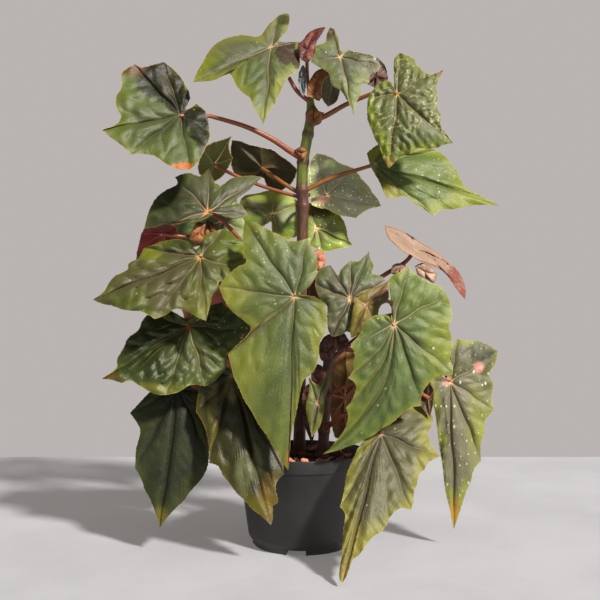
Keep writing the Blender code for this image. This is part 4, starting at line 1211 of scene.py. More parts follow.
LOOKS = {
    "leaf_01": Look(
        1, tone=MELLOW, yellow_amount=0.75, yellow_reach=15, smoke_amount=0.55, dots=0.03, pucker=1.6,
        patches=(
            ((-16, 490), (11, 13), MAROON, 0.95, 0.12),
            ((-5, 482), (5, 9), MAROON, 0.9, 0.12),
            # The near-black mark on the raised flap is painted shade.
            ((-19, 522), (8, 5), PAINTED_SHADOW, 0.8, 0.3),
            ((-13, 509), (3, 7), PINK, 0.85, 0.25),
            ((-30, 509), (9, 14), ASH, 0.5, 0.5),
            ((-66, 496), (34, 11), ASH, 0.45, 0.5),
        ),
    ),
    "leaf_02": Look(
        2, tone=SUNLIT, green=(0.075, 0.105, 0.05), lift=(0.17, 0.205, 0.115), smoke=(0.12, 0.115, 0.088),
        smoke_amount=0.6, yellow_amount=0.35, dots=0.06, pucker=1.2, web=0.3, margin_amount=0.4,
        patches=(
            ((28, 509), (5, 7), MAROON, 0.85, 0.3),
            # The near-black band along the margin is painted shade.
            ((60, 488), (17, 4), PAINTED_SHADOW, 0.6, 0.4),
            ((70, 472), (6, 9), MAROON, 0.6, 0.4),
        ),
    ),
    "leaf_03": Look(
        3, tone=WARM_SHADE, green=(0.065, 0.09, 0.034), lift=(0.15, 0.185, 0.075), smoke=(0.115, 0.105, 0.075),
        smoke_amount=0.75, band=15, yellow_amount=0.35, dots=0.08, pucker=2.2, spacing=10, crease=1.3,
        crease_size=10, web=0.85,
        patches=(
            ((80, 392), (9, 20), LIME, 0.75, 0.6),
            ((70, 417), (5, 22), LIME, 0.6, 0.6),
            ((123, 392), (18, 5), LIME, 0.6, 0.6),
            ((87, 379), (4, 7), AMBER, 0.8, 0.5),
            ((141, 472), (5, 7), RED, 0.9, 0.4),
            ((121, 442), (17, 38), ASH, 0.5, 0.6),
            ((90, 474), (3, 16), RUST, 0.8, 0.4),
        ),
    ),
    "leaf_04": Look(
        4, tone=LOWERED, green=(0.085, 0.15, 0.018), lift=(0.21, 0.31, 0.045), smoke=(0.1, 0.13, 0.05),
        smoke_amount=0.35, yellow=(0.42, 0.48, 0.03), yellow_amount=0.75, yellow_reach=15, dots=0.45,
        dot_size=5.5, dot_home=((138, 357), (30, 22)), pucker=1.6, spacing=15, rib_amount=0.25, wave=2.6,
        patches=(
            ((130, 366), (26, 17), FRESH, 0.6, 0.6),
            ((84, 350), (9, 9), GOLD, 0.8, 0.6),
            ((134, 335), (14, 7), LIME, 0.6, 0.6),
            ((176, 343), (26, 5), LIME, 0.5, 0.6),
        ),
    ),
    "leaf_05": Look(
        5, tone=SHADED, green=(0.06, 0.105, 0.028), lift=(0.155, 0.215, 0.08), smoke=(0.075, 0.08, 0.055),
        smoke_amount=0.5, yellow_amount=0.35, dots=0.03, pucker=2.6, spacing=21, crease=1.2, wave=2.6,
        rib_amount=0.2, margin_amount=0.9, margin=(0.62, 0.44, 0.22), star=2.5,
        patches=(
            # These near-black ellipses are painted shadow over the cupped upper right of the blade.
            ((-139, 458), (23, 20), PAINTED_SHADOW, 0.97, 0.1),
            ((-124, 441), (14, 13), PAINTED_SHADOW, 0.97, 0.1),
            ((-150, 469), (14, 9), PAINTED_SHADOW, 0.97, 0.12),
            ((-104, 420), (12, 18), PAINTED_SHADOW, 0.97, 0.1),
            ((-99, 400), (7, 14), PAINTED_SHADOW, 0.9, 0.2),
            ((-116, 430), (8, 10), PAINTED_SHADOW, 0.95, 0.15),
            ((-134, 460), (6, 16), OLIVE, 0.5, 0.7),
            ((-170, 472), (13, 7), RUST, 0.85, 0.25),
            ((-121, 374), (12, 5), ORANGE, 0.95, 0.25),
            ((-176, 450), (7, 16), FRESH, 0.6, 0.6),
            ((-184, 416), (14, 8), FRESH, 0.5, 0.6),
            ((-152, 424), (16, 14), ASH, 0.35, 0.5),
        ),
    ),
    "leaf_06": Look(
        6, under=(0.04, 0.028, 0.004), under_olive=0.45, margin=(0.62, 0.5, 0.3), margin_amount=0.9,
    ),
    "leaf_07": Look(
        7, tone=PAINTED_LIGHT_BOOST, green=(0.08, 0.095, 0.055), lift=(0.19, 0.215, 0.14), smoke=(0.14, 0.135, 0.11),
        smoke_amount=0.5, dots=0.75, dot_size=4.6, yellow_amount=0.2, pucker=1,
        patches=(
            ((20, 342), (5, 4), PINK, 0.5, 0.6),
        ),
    ),
    "leaf_08": Look(
        8, tone=PAINTED_LIGHT_LIFT, dots=0.5, dot_size=5, yellow_amount=0.4,
        patches=(
            # The near-black mark is painted shadow from the leaf above.
            ((16, 330), (13, 7), PAINTED_SHADOW, 0.75, 0.4),
            ((34, 302), (12, 8), FRESH, 0.4, 0.6),
        ),
    ),
    "leaf_09": Look(
        9, tone=PAINTED_LIGHT_LIFT, dots=0.1,
        patches=(
            ((-50, 337), (10, 8), ASH, 0.6, 0.5),
            ((-17, 327), (14, 8), ASH, 0.5, 0.5),
        ),
    ),
    "leaf_10": Look(
        10, tone=MELLOW, green=(0.036, 0.062, 0.016), lift=(0.095, 0.135, 0.04), smoke=(0.085, 0.08, 0.055),
        smoke_amount=0.5, yellow_amount=0.15, rib_amount=1, rib_width=0.9, dots=0.03, pucker=1.8, spacing=13,
        margin_amount=0.5, star=9, star_tint=(0.72, 0.4, 0.15),
        patches=(
            ((-130, 342), (18, 16), DEEP, 0.7, 0.5),
            ((-62, 354), (20, 9), ASH, 0.6, 0.5),
            ((-66, 330), (11, 6), ASH, 0.6, 0.5),
            ((-102, 352), (7, 16), ASH, 0.5, 0.5),
            ((-145, 320), (15, 6), DEEP, 0.6, 0.5),
        ),
    ),
    "leaf_11": Look(
        11, tone=SHADED, green=(0.07, 0.1, 0.025), lift=(0.15, 0.2, 0.05), smoke=(0.115, 0.098, 0.07),
        smoke_amount=0.75, band=14, yellow_amount=0.25, dots=0.05, pucker=4.2, spacing=17, crease=1.6, wave=3,
        rib_amount=0.35, star=8, star_tint=(0.75, 0.52, 0.28),
        patches=(
            ((-59, 280), (14, 18), LIME, 0.7, 0.6),
            ((-106, 238), (16, 14), LIME, 0.55, 0.6),
            ((-74, 292), (18, 16), FRESH, 0.45, 0.7),
            ((-154, 266), (44, 16), SMOKE, 0.65, 0.5),
            ((-128, 245), (36, 13), SMOKE, 0.6, 0.5),
            ((-152, 290), (10, 8), LIME, 0.55, 0.5),
            # The dark band along the upper margin is painted shadow.
            ((-116, 298), (22, 6), DEEP, 0.75, 0.4),
            ((-186, 242), (20, 8), MOSS, 0.5, 0.5),
        ),
    ),
    "leaf_12": Look(
        12, tone=MELLOW, green=(0.066, 0.112, 0.02), lift=(0.16, 0.235, 0.046), smoke_amount=0.45,
        yellow_amount=0.55, yellow_reach=13, dots=0.34, dot_size=6, dot_home=((-14, 280), (30, 42)),
        pucker=1.3, spacing=19, rib_amount=0.5, star=8, wave=2.6,
        patches=(
            ((-40, 280), (26, 26), FRESH, 0.35, 0.7),
            ((-14, 266), (24, 30), TEAL, 0.55, 0.7),
            ((-66, 250), (15, 14), LIME, 0.5, 0.6),
            ((-56, 176), (17, 26), LIME, 0.45, 0.7),
            ((16, 208), (10, 20), LIME, 0.45, 0.6),
            ((-10, 202), (14, 40), TEAL, 0.4, 0.7),
            ((-22, 102), (12, 24), FRESH, 0.4, 0.7),
            ((-12, 83), (5, 10), AMBER, 0.8, 0.5),
        ),
    ),
    "leaf_13": Look(
        13, tone=WARM_SHADE, green=(0.03, 0.046, 0.01), lift=(0.085, 0.115, 0.036),
        smoke=(0.075, 0.072, 0.048), smoke_amount=0.6, yellow_amount=0.25, dots=0.5, dot_size=6,
        dot_home=((-62, 214), (26, 24)), pucker=4, spacing=15, crease=1.6, crease_size=12, star=7,
        star_tint=(0.5, 0.22, 0.06), gloss=0.34,
        patches=(
            # The large dark patch over the left of the blade is painted shade from the leaves above.
            ((-152, 190), (36, 34), DEEP, 0.8, 0.5),
            ((-115, 184), (22, 22), ASH, 0.4, 0.5),
            ((-66, 218), (20, 18), TEAL, 0.7, 0.5),
            ((-152, 154), (26, 5), GOLD, 0.3, 0.6),
            ((-190, 165), (10, 5), RUST, 0.5, 0.5),
        ),
    ),
    # The two blades low on the left lie in shade: their very dark greens, dim dots and deep tone paint that shade over
    # their own dark green.
    "leaf_14": Look(
        14, tone=DEEP_SHADE, green=(0.014, 0.022, 0.004), lift=(0.045, 0.062, 0.012), smoke=(0.02, 0.02, 0.01),
        smoke_amount=0.6, yellow=(0.1, 0.125, 0.01), yellow_amount=0.55, dots=0.22, dot_size=8,
        dot_tint=(0.1, 0.12, 0.045), rib_amount=0.1, pucker=1, margin_amount=0.3, gloss=0.6,
        patches=(
            ((-142, 22), (7, 10), GOLD, 0.75, 0.6),
            ((-160, 142), (14, 12), MOSS, 0.5, 0.6),
        ),
    ),
    "leaf_15": Look(
        15, tone=DEEP_SHADE, green=(0.026, 0.03, 0.004), lift=(0.075, 0.082, 0.014),
        smoke=(0.035, 0.028, 0.01), smoke_amount=0.6, yellow=(0.19, 0.16, 0.012), yellow_amount=0.5, dots=0.02,
        rib_amount=0.15, pucker=2.6, spacing=22, margin_amount=0.6, gloss=0.36,
        patches=(
            # The pale grey marks are painted sheen.
            ((-70, 154), (7, 14), PAINTED_SHEEN, 0.75, 0.35),
            ((-59, 67), (8, 22), PAINTED_SHEEN, 0.75, 0.35),
            ((-45, 80), (5, 20), PAINTED_SHEEN, 0.65, 0.35),
            ((-89, 127), (5, 30), GOLD, 0.35, 0.5),
            ((-32, 42), (9, 22), AMBER, 0.5, 0.6),
            ((-50, 34), (22, 12), GOLD, 0.45, 0.6),
        ),
    ),
    "leaf_16": Look(
        16, tone=SUNLIT, green=(0.07, 0.118, 0.024), lift=(0.15, 0.215, 0.055), smoke_amount=0.4,
        yellow_amount=0.5, yellow_reach=10, dots=0.1, dot_size=8, pucker=1.7, spacing=16, crease=0.8,
        rib_amount=0.6, star=8, star_tint=(0.78, 0.6, 0.35),
        patches=(
            ((70, 212), (16, 12), TEAL, 0.4, 0.6),
            ((100, 170), (24, 40), TEAL, 0.4, 0.7),
            ((118, 242), (20, 20), FRESH, 0.45, 0.7),
            ((135, 197), (12, 30), LIME, 0.4, 0.7),
            ((48, 112), (22, 14), FRESH, 0.3, 0.7),
        ),
    ),
    "leaf_17": Look(
        17, tone=SUNLIT, green=(0.06, 0.085, 0.034), lift=(0.14, 0.17, 0.085), smoke=(0.105, 0.092, 0.072),
        smoke_amount=0.8, band=9, yellow_amount=0.1, dots=0.04, pucker=2.4, crease=1.2, rib_amount=0.8,
        web=0.2, star=7,
        patches=(
            ((38, 252), (12, 12), SMOKE, 0.55, 0.5),
            ((32, 220), (6, 14), SMOKE, 0.5, 0.5),
            ((61, 274), (14, 16), FERN, 0.5, 0.6),
        ),
    ),
    "leaf_18": Look(
        18, tone=MELLOW, green=(0.11, 0.085, 0.02), lift=(0.22, 0.18, 0.055), smoke=(0.14, 0.075, 0.035),
        smoke_amount=0.6, yellow_amount=0.5, dots=0.1, pucker=1.6,
        patches=(
            ((60, 234), (10, 12), GOLD, 0.4, 0.6),
            ((82, 250), (8, 8), RUST, 0.4, 0.6),
        ),
    ),
    "leaf_19": Look(
        19, tone=SUNLIT, green=(0.105, 0.108, 0.062), lift=(0.2, 0.205, 0.125), smoke=(0.15, 0.13, 0.095),
        smoke_amount=0.55, yellow_amount=0.75, yellow_reach=10, dots=0.62, dot_size=6.5, dot_length=1.7,
        pucker=1.2, rib_amount=0.5, margin_amount=0.5,
        patches=(
            ((153, 170), (10, 18), MOSS, 0.6, 0.5),
            ((182, 190), (16, 12), DEEP, 0.7, 0.4),
            ((185, 166), (7, 14), DEEP, 0.55, 0.4),
            ((177, 175), (5, 6), PINK, 0.95, 0.3),
            ((145, 161), (5, 5), PINK, 0.8, 0.4),
            ((175, 117), (10, 36), LIME, 0.45, 0.6),
            ((153, 27), (5, 14), AMBER, 0.75, 0.6),
        ),
    ),
    "leaf_20": Look(
        20, tone=LOWERED, green=(0.105, 0.105, 0.034), lift=(0.2, 0.2, 0.075), smoke=(0.105, 0.09, 0.05),
        smoke_amount=0.65, band=10, yellow=(0.36, 0.36, 0.035), yellow_amount=0.85, yellow_reach=17, dots=0.05,
        pucker=1.4, rib_amount=0.35, crease=1, margin=(0.55, 0.4, 0.05),
        patches=(
            ((76, 64), (24, 38), OLIVE_GREY, 0.45, 0.7),
            ((50, -3), (9, 34), GOLD, 0.5, 0.7),
            ((44, -32), (4, 10), AMBER, 0.6, 0.6),
        ),
    ),
    "leaf_21": Look(
        21, tone=LOWERED, green=(0.5, 0.31, 0.22), lift=(0.74, 0.52, 0.4), smoke=(0.42, 0.27, 0.17),
        smoke_amount=0.6, yellow=(0.7, 0.46, 0.24), yellow_amount=0.5, dots=0.05, pucker=2, spacing=6,
        crease=1.2, crease_size=7, web=0.8, margin=(0.42, 0.07, 0.04), margin_amount=0.9,
        rib=(0.6, 0.42, 0.28), under=(0.3, 0.05, 0.03), under_olive=0.1,
        patches=(
            ((153, 264), (9, 14), RED, 0.9, 0.4),
            ((162, 248), (5, 9), RED, 0.9, 0.4),
        ),
    ),
    "leaf_22": Look(
        22, tone=MELLOW, green=(0.06, 0.09, 0.014), lift=(0.15, 0.2, 0.045), rib_amount=0.9, star=5, dots=0.0,
        patches=(
            ((20, 158), (6, 12), ASH, 0.5, 0.5),
        ),
    ),
    "leaf_23": Look(
        23, tone=SHADED, under=(0.16, 0.06, 0.016), under_olive=0.3,
    ),
    "leaf_24": Look(
        24, tone=PAINTED_LIGHT_BOOST, under=(0.1, 0.045, 0.014), under_olive=0.4,
    ),
    "leaf_25": Look(
        25, tone=PAINTED_LIGHT_BOOST, under=(0.06, 0.07, 0.016), under_olive=0.8,
    ),
    "leaf_26": Look(
        26, under=(0.24, 0.022, 0.022), under_olive=0.1,
    ),
    "leaf_27": Look(
        27, under=(0.13, 0.03, 0.02), under_olive=0.3,
    ),
    "leaf_28": Look(
        28, under=(0.13, 0.03, 0.02), under_olive=0.3,
    ),
    "leaf_29": Look(
        29, under=(0.13, 0.03, 0.02), under_olive=0.3,
    ),
    "leaf_30": Look(
        30, under=(0.13, 0.03, 0.02), under_olive=0.3,
    ),
    "leaf_31": Look(
        31, tone=PAINTED_LIGHT_LIFT, green=(0.03, 0.06, 0.02), lift=(0.08, 0.13, 0.05), smoke_amount=0.4,
        yellow_amount=0.3,
    ),
}
YOUNG = Look(40, green=(0.070, 0.100, 0.030), lift=(0.16, 0.20, 0.080), star=0.0, under=(0.085, 0.075, 0.035),
             under_olive=0.3, dots=0.0)


def dress_blades():
    for number, (name, blade) in enumerate(LEAVES.items(), start=1):
        look = LOOKS.get(name) or Look(number)
        top, under = leaf_top(name + "_upper", look, blade.joint), leaf_under(name + "_under", look, blade.joint)
        settle(build_blade("blade_" + name[5:], blade, look, top, under), "leaf", name)


dress_blades()

# %% [markdown]
# The canes are ringed stems: a swelling and a scar at each node, where a leaf once stood, and a petiole leaves from
# each node that still has its leaf. Both follow a path, so a Geometry Nodes rule sweeps a ring along a line of points.
# Each point carries its radius and its distance from the start, and the finish reads that distance.

# %% Rule for a stem
FINE_STEPS = 9
CANE_SIDES = 22
PETIOLE_SIDES = 14
PETIOLE_END_R = 1.8


def stem_rule():
    rule = Rule(
        "stem_rule", Sides=("Int", CANE_SIDES), Lumps=("Float", 0.0002), Lump_size=("Float", 300.0),
        Finish=("Material", None),
    )
    line = rule.add("GeometryNodeMeshToCurve", None, Mesh=rule.given("Shape"))
    thick = rule.add("GeometryNodeInputNamedAttribute", {"data_type": "FLOAT"}, Name="thick")
    ring = rule.add("GeometryNodeCurvePrimitiveCircle", None, Resolution=rule.given("Sides"), Radius=1.0)
    tube = rule.add(
        "GeometryNodeCurveToMesh", None,
        Curve=line.outputs[0], Profile_Curve=ring.outputs[0], Scale=thick.outputs[0], Fill_Caps=True,
    )
    position = rule.add("GeometryNodeInputPosition").outputs[0]
    lump = (rule.noise(position, rule.given("Lump_size"), 2.0) - 0.5) * rule.given("Lumps")
    normal = rule.add("GeometryNodeInputNormal").outputs[0]
    moved = rule.add(
        "GeometryNodeSetPosition", None,
        Geometry=tube.outputs[0], Offset=rule.vector("SCALE", normal, scale=lump),
    )
    smooth = rule.add("GeometryNodeSetShadeSmooth", None, Geometry=moved.outputs[0])
    rule.close(smooth.outputs[0], rule.given("Finish"))
    return rule


STEM_RULE = stem_rule()


def stem(name, centres, radii, node=0.0, **inputs):
    """A stem along these centres, in millimetres. Node says how near a point is to a node, from 0 to 1."""
    centres, radii = np.array(centres), np.array(radii)
    run = np.concatenate(([0.0], np.cumsum(np.linalg.norm(np.diff(centres, axis=0), axis=1))))
    mesh = bpy.data.meshes.new(name + "_line")
    mesh.from_pydata((centres * MM).tolist(), [(index, index + 1) for index in range(len(centres) - 1)], [])
    measures = {"thick": radii * MM, "share": run / run[-1], "node": node + run * 0.0}
    for label, values in measures.items():
        layer = mesh.attributes.new(label, "FLOAT", "POINT")
        layer.data.foreach_set("value", values.astype(np.float32))
    return STEM_RULE.grow(name, mesh, **inputs)


def smooth_route(points, steps):
    """Points on a smooth curve through these, and the same points' other numbers."""
    points = np.array(points, float)
    padded = np.vstack((points[:1], points, points[-1:]))
    t = np.arange(steps) / steps
    spans = [smooth_span(*padded[index:index + 4], t) for index in range(len(points) - 1)]
    return np.vstack((*spans, points[-1:]))


print("stem rule has", len(STEM_RULE.tree.nodes), "nodes")

# %% [markdown]
# The main cane is bright green where it is young, above its wine red node, and brown below it. The petioles are red
# brown with paler streaks along them. A swelling and two fine ridges mark every node.

# %% Stem finishes
def bark_finish(name, young_from, young_to):
    """Brown bark that turns green between two heights."""
    finish = Finish(name, Roughness=0.45)
    place, height = finish.place(1.0 / MM), finish.height()
    wander = finish.noise(place, 0.10, 4.0)
    streak = finish.noise(finish.vector("MULTIPLY", place, (1.0, 1.0, 0.10)), 0.9, 4.0, 0.6)
    brown = finish.mix(streak.step(0.35, 0.7), (0.050, 0.020, 0.012), (0.13, 0.050, 0.024))
    green = finish.mix(streak.step(0.3, 0.7), (0.070, 0.090, 0.010), (0.15, 0.185, 0.020))
    young = (height + wander * 24.0 - 12.0).step(young_from, young_to)
    colour = finish.mix(young, brown, green)
    node = finish.attribute("node")
    colour = finish.mix(node.step(0.15, 0.8) * 0.75, colour, (0.085, 0.022, 0.012))
    specks = finish.cells(place, 0.55).outputs["Distance"]
    speck = Flow(finish, specks).step(0.22, 0.10) * wander.step(0.45, 0.6)
    colour = finish.mix(speck * 0.5, colour, (0.30, 0.22, 0.12))
    return finish.feed(
        Base_Color=colour, Roughness=streak * 0.2 + 0.36,
        Normal=finish.bump(streak * 0.5 + speck * 0.5, 0.0006, 0.8),
    )


def petiole_finish(name, red, brown):
    """Red brown, paler along its streaks, with a few scars."""
    finish = Finish(name, Roughness=0.42)
    place, share = finish.place(1.0 / MM), finish.attribute("share")
    wander = finish.noise(place, 0.12, 3.0)
    fine = finish.noise(place, 0.8, 4.0, 0.6)
    colour = finish.mix((wander * 1.6 - 0.3 + share * 0.3).clamped(), brown, red)
    colour = finish.mix(fine.step(0.5, 0.8) * 0.5, colour, (0.42, 0.17, 0.08))
    scar = wander.step(0.66, 0.72) * fine.step(0.45, 0.6)
    colour = finish.mix(scar, colour, (0.60, 0.33, 0.22))
    return finish.feed(
        Base_Color=colour, Roughness=fine * 0.2 + 0.32, Normal=finish.bump(fine, 0.0004, 0.6),
    )


print("stem finishes ready")


# %% [markdown]
# Each cane's middle line is written from its root up as (across, up, depth, radius), and each petiole as its leaf, the
# places that it passes and its radius. They are the solids' own lines, with more points between them.

# %% Cane table
CANES = {
    "cane_main": (
        ((-4, 44, 14, 6.4), (-3, 84, 13, 6.4), (-2, 135, 12, 6.0), (-2, 180, 12, 6.0), (-1, 240, 11, 5.8),
         (0, 290, 10, 5.6), (1, 335, 8, 5.6), (0, 352, 6, 5.8), (1, 380, 4, 5.5), (6, 408, 2, 5.2),
         (9, 428, 0, 4.8), (8, 444, -2, 3.4)),
        (
            ("leaf_01", ((8, 440, -2), (-5, 451, -7), (-14, 466, -10)), 2.4),
            ("leaf_02", ((8, 442, -2), (18, 456, -6), (30, 470, -14)), 2.2),
            ("leaf_03", ((9, 424, 0), (21, 425, -3), (45, 438, -8), (69, 448, -18)), 3.0),
            ("leaf_04", ((1, 350, 6), (18, 359, 6), (38, 367, 4), (58, 373, 1)), 2.5),
            ("leaf_05", ((1, 383, 4), (-12, 391, -2), (-32, 404, -10), (-58, 416, -17), (-92, 426, -18)), 3.4),
            ("leaf_06", ((0, 347, 7), (-19, 359, 13), (-31, 368, 20)), 2.2),
            ("leaf_07", ((0, 340, 9), (3, 345, 27), (13, 349, 36)), 2.0),
            ("leaf_08", ((0, 288, 10), (3, 286, 24), (9, 298, 31)), 1.9),
            ("leaf_09", ((0, 286, 10), (-10, 281, 34), (-24, 300, 56)), 2.0),
            ("leaf_12", ((-2, 262, 11), (-6, 268, -20), (-8, 260, -58)), 2.8),
            ("leaf_25", ((0, 344, 7), (-40, 356, 10), (-70, 368, 12)), 1.8),
            ("leaf_29", ((-1, 262, 11), (2, 270, 40)), 2.4),
            ("curled_leaf", ((8, 442, -2), (6, 458, -3), (5, 474, -8)), 1.7),
        ),
    ),
    "cane_right": (
        ((20, 44, -6, 5.6), (21, 84, -6, 5.6), (22, 112, -7, 5.4), (24, 145, -8, 5.2), (27, 185, -10, 5.0),
         (36, 215, -14, 4.6), (46, 240, -18, 3.8)),
        (
            ("leaf_16", ((30, 198, -11), (52, 192, -40), (76, 203, -62)), 2.8),
            ("leaf_17", ((42, 230, -16), (46, 238, -30)), 2.1),
            ("leaf_18", ((37, 216, -14), (56, 210, -38), (62, 222, -54)), 1.9),
            ("leaf_19", ((26, 180, -10), (70, 212, -18), (110, 208, -6), (136, 184, -2)), 2.7),
            ("leaf_20", ((22, 112, -7), (42, 127, -36), (62, 126, -50)), 2.6),
            ("leaf_21", ((45, 238, -18), (78, 264, -14), (102, 279, -12), (110, 288, -13)), 2.5),
            ("leaf_22", ((22, 118, -7), (18, 124, -26)), 1.8),
            ("leaf_23", ((24, 146, -8), (56, 160, -42), (98, 164, -72)), 1.8),
            ("leaf_24", ((25, 148, -8), (34, 146, 2)), 1.9),
            ("leaf_28", ((40, 226, -15), (64, 244, 16), (88, 240, 38)), 2.5),
        ),
    ),
    "cane_left": (
        ((-20, 44, 4, 5.4), (-22, 84, 4, 5.4), (-26, 120, 3, 5.2), (-32, 165, 1, 5.0), (-41, 220, -2, 4.8),
         (-52, 275, -4, 4.4), (-61, 302, -6, 3.6)),
        (
            ("leaf_10", ((-60, 299, -6), (-66, 307, -11), (-80, 322, -16)), 2.4),
            ("leaf_11", ((-55, 284, -5), (-76, 284, -24), (-92, 284, -38)), 2.6),
            ("leaf_13", ((-44, 232, -3), (-76, 226, -20), (-98, 221, -30)), 2.5),
            ("leaf_14", ((-34, 176, 1), (-78, 184, -6), (-112, 172, -16)), 2.5),
            ("leaf_15", ((-33, 168, 1), (-50, 178, -26), (-62, 174, -44)), 2.5),
            ("leaf_26", ((-60, 300, -6), (-100, 304, -14), (-124, 306, -24)), 1.6),
            ("leaf_31", ((-60, 297, -6), (-67, 287, 12), (-76, 284, 34), (-84, 297, 43)), 2.2),
            ("leaf_27", ((-56, 286, -5), (-64, 288, 30)), 2.4),
            ("leaf_30", ((-38, 202, 0), (-55, 214, 32), (-70, 206, 52)), 2.4),
        ),
    ),
}

print("petioles:", sum(len(petioles) for _, petioles in CANES.values()))

# %% Build the canes and petioles
NODE_SWELL = 0.18
RIDGE = 0.05
BARKS = {
    "cane_main": bark_finish("cane_main_bark", 352.0, 366.0),
    "cane_right": bark_finish("cane_right_bark", 900.0, 950.0),
    "cane_left": bark_finish("cane_left_bark", 280.0, 330.0),
}
RED_PETIOLE = petiole_finish("petiole_red", (0.26, 0.060, 0.022), (0.16, 0.042, 0.014))
BROWN_PETIOLE = petiole_finish("petiole_brown", (0.25, 0.085, 0.014), (0.15, 0.055, 0.010))
BROWN_ONES = ("leaf_02", "leaf_03", "leaf_04", "leaf_06")


def blade_normal(blade):
    """The mean normal of the solid blade, on the eye's side."""
    places, phases, numbers = zip(*traced_margin(blade))
    places, phases, numbers = np.array(places), np.array(phases), np.array(numbers)
    grid = blade_grid(blade, places, phases, numbers, np.array((1.0,)))
    depth = blade.joint[2] + grid["flat"] @ blade.lean + blade.droop * grid["reach"] ** 2
    points = to_space(grid["spot"][..., 0], grid["spot"][..., 1], depth)[:, 0]
    total = np.cross(points, np.roll(points, -1, 0)).sum(0)
    total /= np.linalg.norm(total)
    return total if total[1] < 0 else -total


def build_petiole(leaf, route, radius):
    """A petiole from its cane to just under the blade that it carries."""
    blade = LEAVES.get(leaf) or SHEATHS[leaf]
    line = smooth_route(route, FINE_STEPS)
    centres = list(to_space(line[:, 0], line[:, 1], line[:, 2]))
    joint = to_space(*blade.joint)
    if blade.top > 0:
        end = joint - blade_normal(blade) * (BLADE_THICK + PETIOLE_END_R * 0.6)
    else:
        end = joint + blade_normal(blade) * PETIOLE_END_R * 0.6
    last = centres[-1]
    for part in (0.25, 0.5, 0.75, 1.0):
        centres.append(last + (end - last) * part)
    share = np.linspace(0, 1, len(centres))
    radii = radius + (PETIOLE_END_R - radius) * share
    radii *= 1 + 0.5 * np.exp(-((share / 0.04) ** 2)) + 0.15 * np.exp(-(((share - 1) / 0.03) ** 2))
    finish = BROWN_PETIOLE if leaf in BROWN_ONES else RED_PETIOLE
    return stem("petiole_" + leaf.replace("leaf_", ""), centres, radii, Sides=PETIOLE_SIDES, Finish=finish)


def build_cane(name, line):
    fine = smooth_route(line, FINE_STEPS * 2)
    centres = to_space(fine[:, 0], fine[:, 1], fine[:, 2])
    radii = fine[:, 3].copy()
    run = np.concatenate(([0.0], np.cumsum(np.linalg.norm(np.diff(centres, axis=0), axis=1))))
    knots = run[::FINE_STEPS * 2][1:-1]
    near = np.exp(-((np.abs(run[:, None] - knots).min(1) / 3.2) ** 2))
    radii *= 1 + NODE_SWELL * near + RIDGE * np.sin(run * 2.4) * near
    return stem(name + "_stem", centres, radii, near, Sides=CANE_SIDES, Finish=BARKS[name])


for cane_name, (cane_line, cane_petioles) in CANES.items():
    settle(build_cane(cane_name, cane_line), "bark", cane_name)
    for leaf_name, route, radius in cane_petioles:
        settle(build_petiole(leaf_name, route, radius), "bark")
# %% [markdown]
# The sheaths are made as the blades are, but crumpled much more, and with a dry finish.

# %% Dry finish and sheaths
def dry_finish(name, pale, dark, gloss=0.6):
    """A dead, papery leaf: brown to tan, with fibres and darker creases."""
    finish = Finish(name, Roughness=gloss)
    place = finish.place(1.0 / MM)
    off, share = finish.attribute("rib_off"), finish.attribute("share")
    wander = finish.noise(place, 0.14, 4.0)
    fibre = finish.noise(finish.vector("MULTIPLY", place, (1.0, 1.0, 0.25)), 0.9, 5.0, 0.65)
    colour = finish.mix(wander.step(0.35, 0.65), dark, pale)
    colour = finish.mix(fibre.step(0.55, 0.8) * 0.6, colour, tuple(min(1.0, part * 1.7) for part in pale))
    colour = finish.mix((off / 0.7).step(1.0, 0.2) * 0.5, colour, dark)
    colour = finish.mix((share + fibre * 0.2).step(0.95, 1.1) * 0.6, colour, tuple(part * 0.5 for part in dark))
    return finish.feed(
        Base_Color=colour, Roughness=fibre * 0.3 + gloss - 0.15, Normal=finish.bump(fibre + wander, 0.0010, 0.8),
    )


PAPERY = dry_finish("papery_sheath", (0.34, 0.13, 0.035), (0.13, 0.045, 0.012))
CRISP = dry_finish("crisp_sheath", (0.20, 0.075, 0.050), (0.030, 0.012, 0.007))
CURLED = dry_finish("curled_red", (0.20, 0.035, 0.020), (0.045, 0.012, 0.010), gloss=0.45)
DARK_CURL = dry_finish("dark_curl", (0.10, 0.034, 0.016), (0.030, 0.012, 0.006), gloss=0.45)
STRIP = dry_finish("bluish_strip", (0.20, 0.23, 0.24), (0.10, 0.10, 0.11), gloss=0.5)
TAN = dry_finish("tan_scrap", (0.42, 0.28, 0.19), (0.22, 0.12, 0.08))
SALMON = dry_finish("salmon_scrap", (0.62, 0.24, 0.14), (0.26, 0.085, 0.050))
SHEATH_FINISHES = {
    "curled_leaf": CURLED, "curl_sheath": DARK_CURL, "apex_strip": STRIP,
    "petiole_scrap_1": TAN, "petiole_scrap_2": TAN, "petiole_scrap_3": SALMON,
    "right_sheath_1": CRISP, "right_sheath_2": CRISP, "right_sheath_3": CRISP, "right_sheath_4": CRISP,
}


def dress_sheaths():
    for number, (name, blade) in enumerate(SHEATHS.items(), start=40):
        look = Look(number, pucker=2.4, wave=7.0, spacing=5.0, teeth=0.8, wander=0.8)
        if name == "young_leaf":
            upper, under = (side("young", YOUNG, blade.joint) for side in (leaf_top, leaf_under))
        else:
            upper = under = SHEATH_FINISHES.get(name, PAPERY)
        slot = "leaf" if name in ("young_leaf", "curled_leaf") else "dry_sheath"
        settle(build_blade(name + "_fine", blade, look, upper, under), slot, name)


dress_sheaths()

# %% [markdown]
# The soil is a dark, lumpy mass with crumbs and bits of bark lying on it. One closed solid with a fine uneven top
# stands for the mass, and a Geometry Nodes rule strews crumbs over that top: it draws points on the faces that look
# up, puts a rough little lump at each, turns and scales it by chance from a fixed seed, and makes them all real.

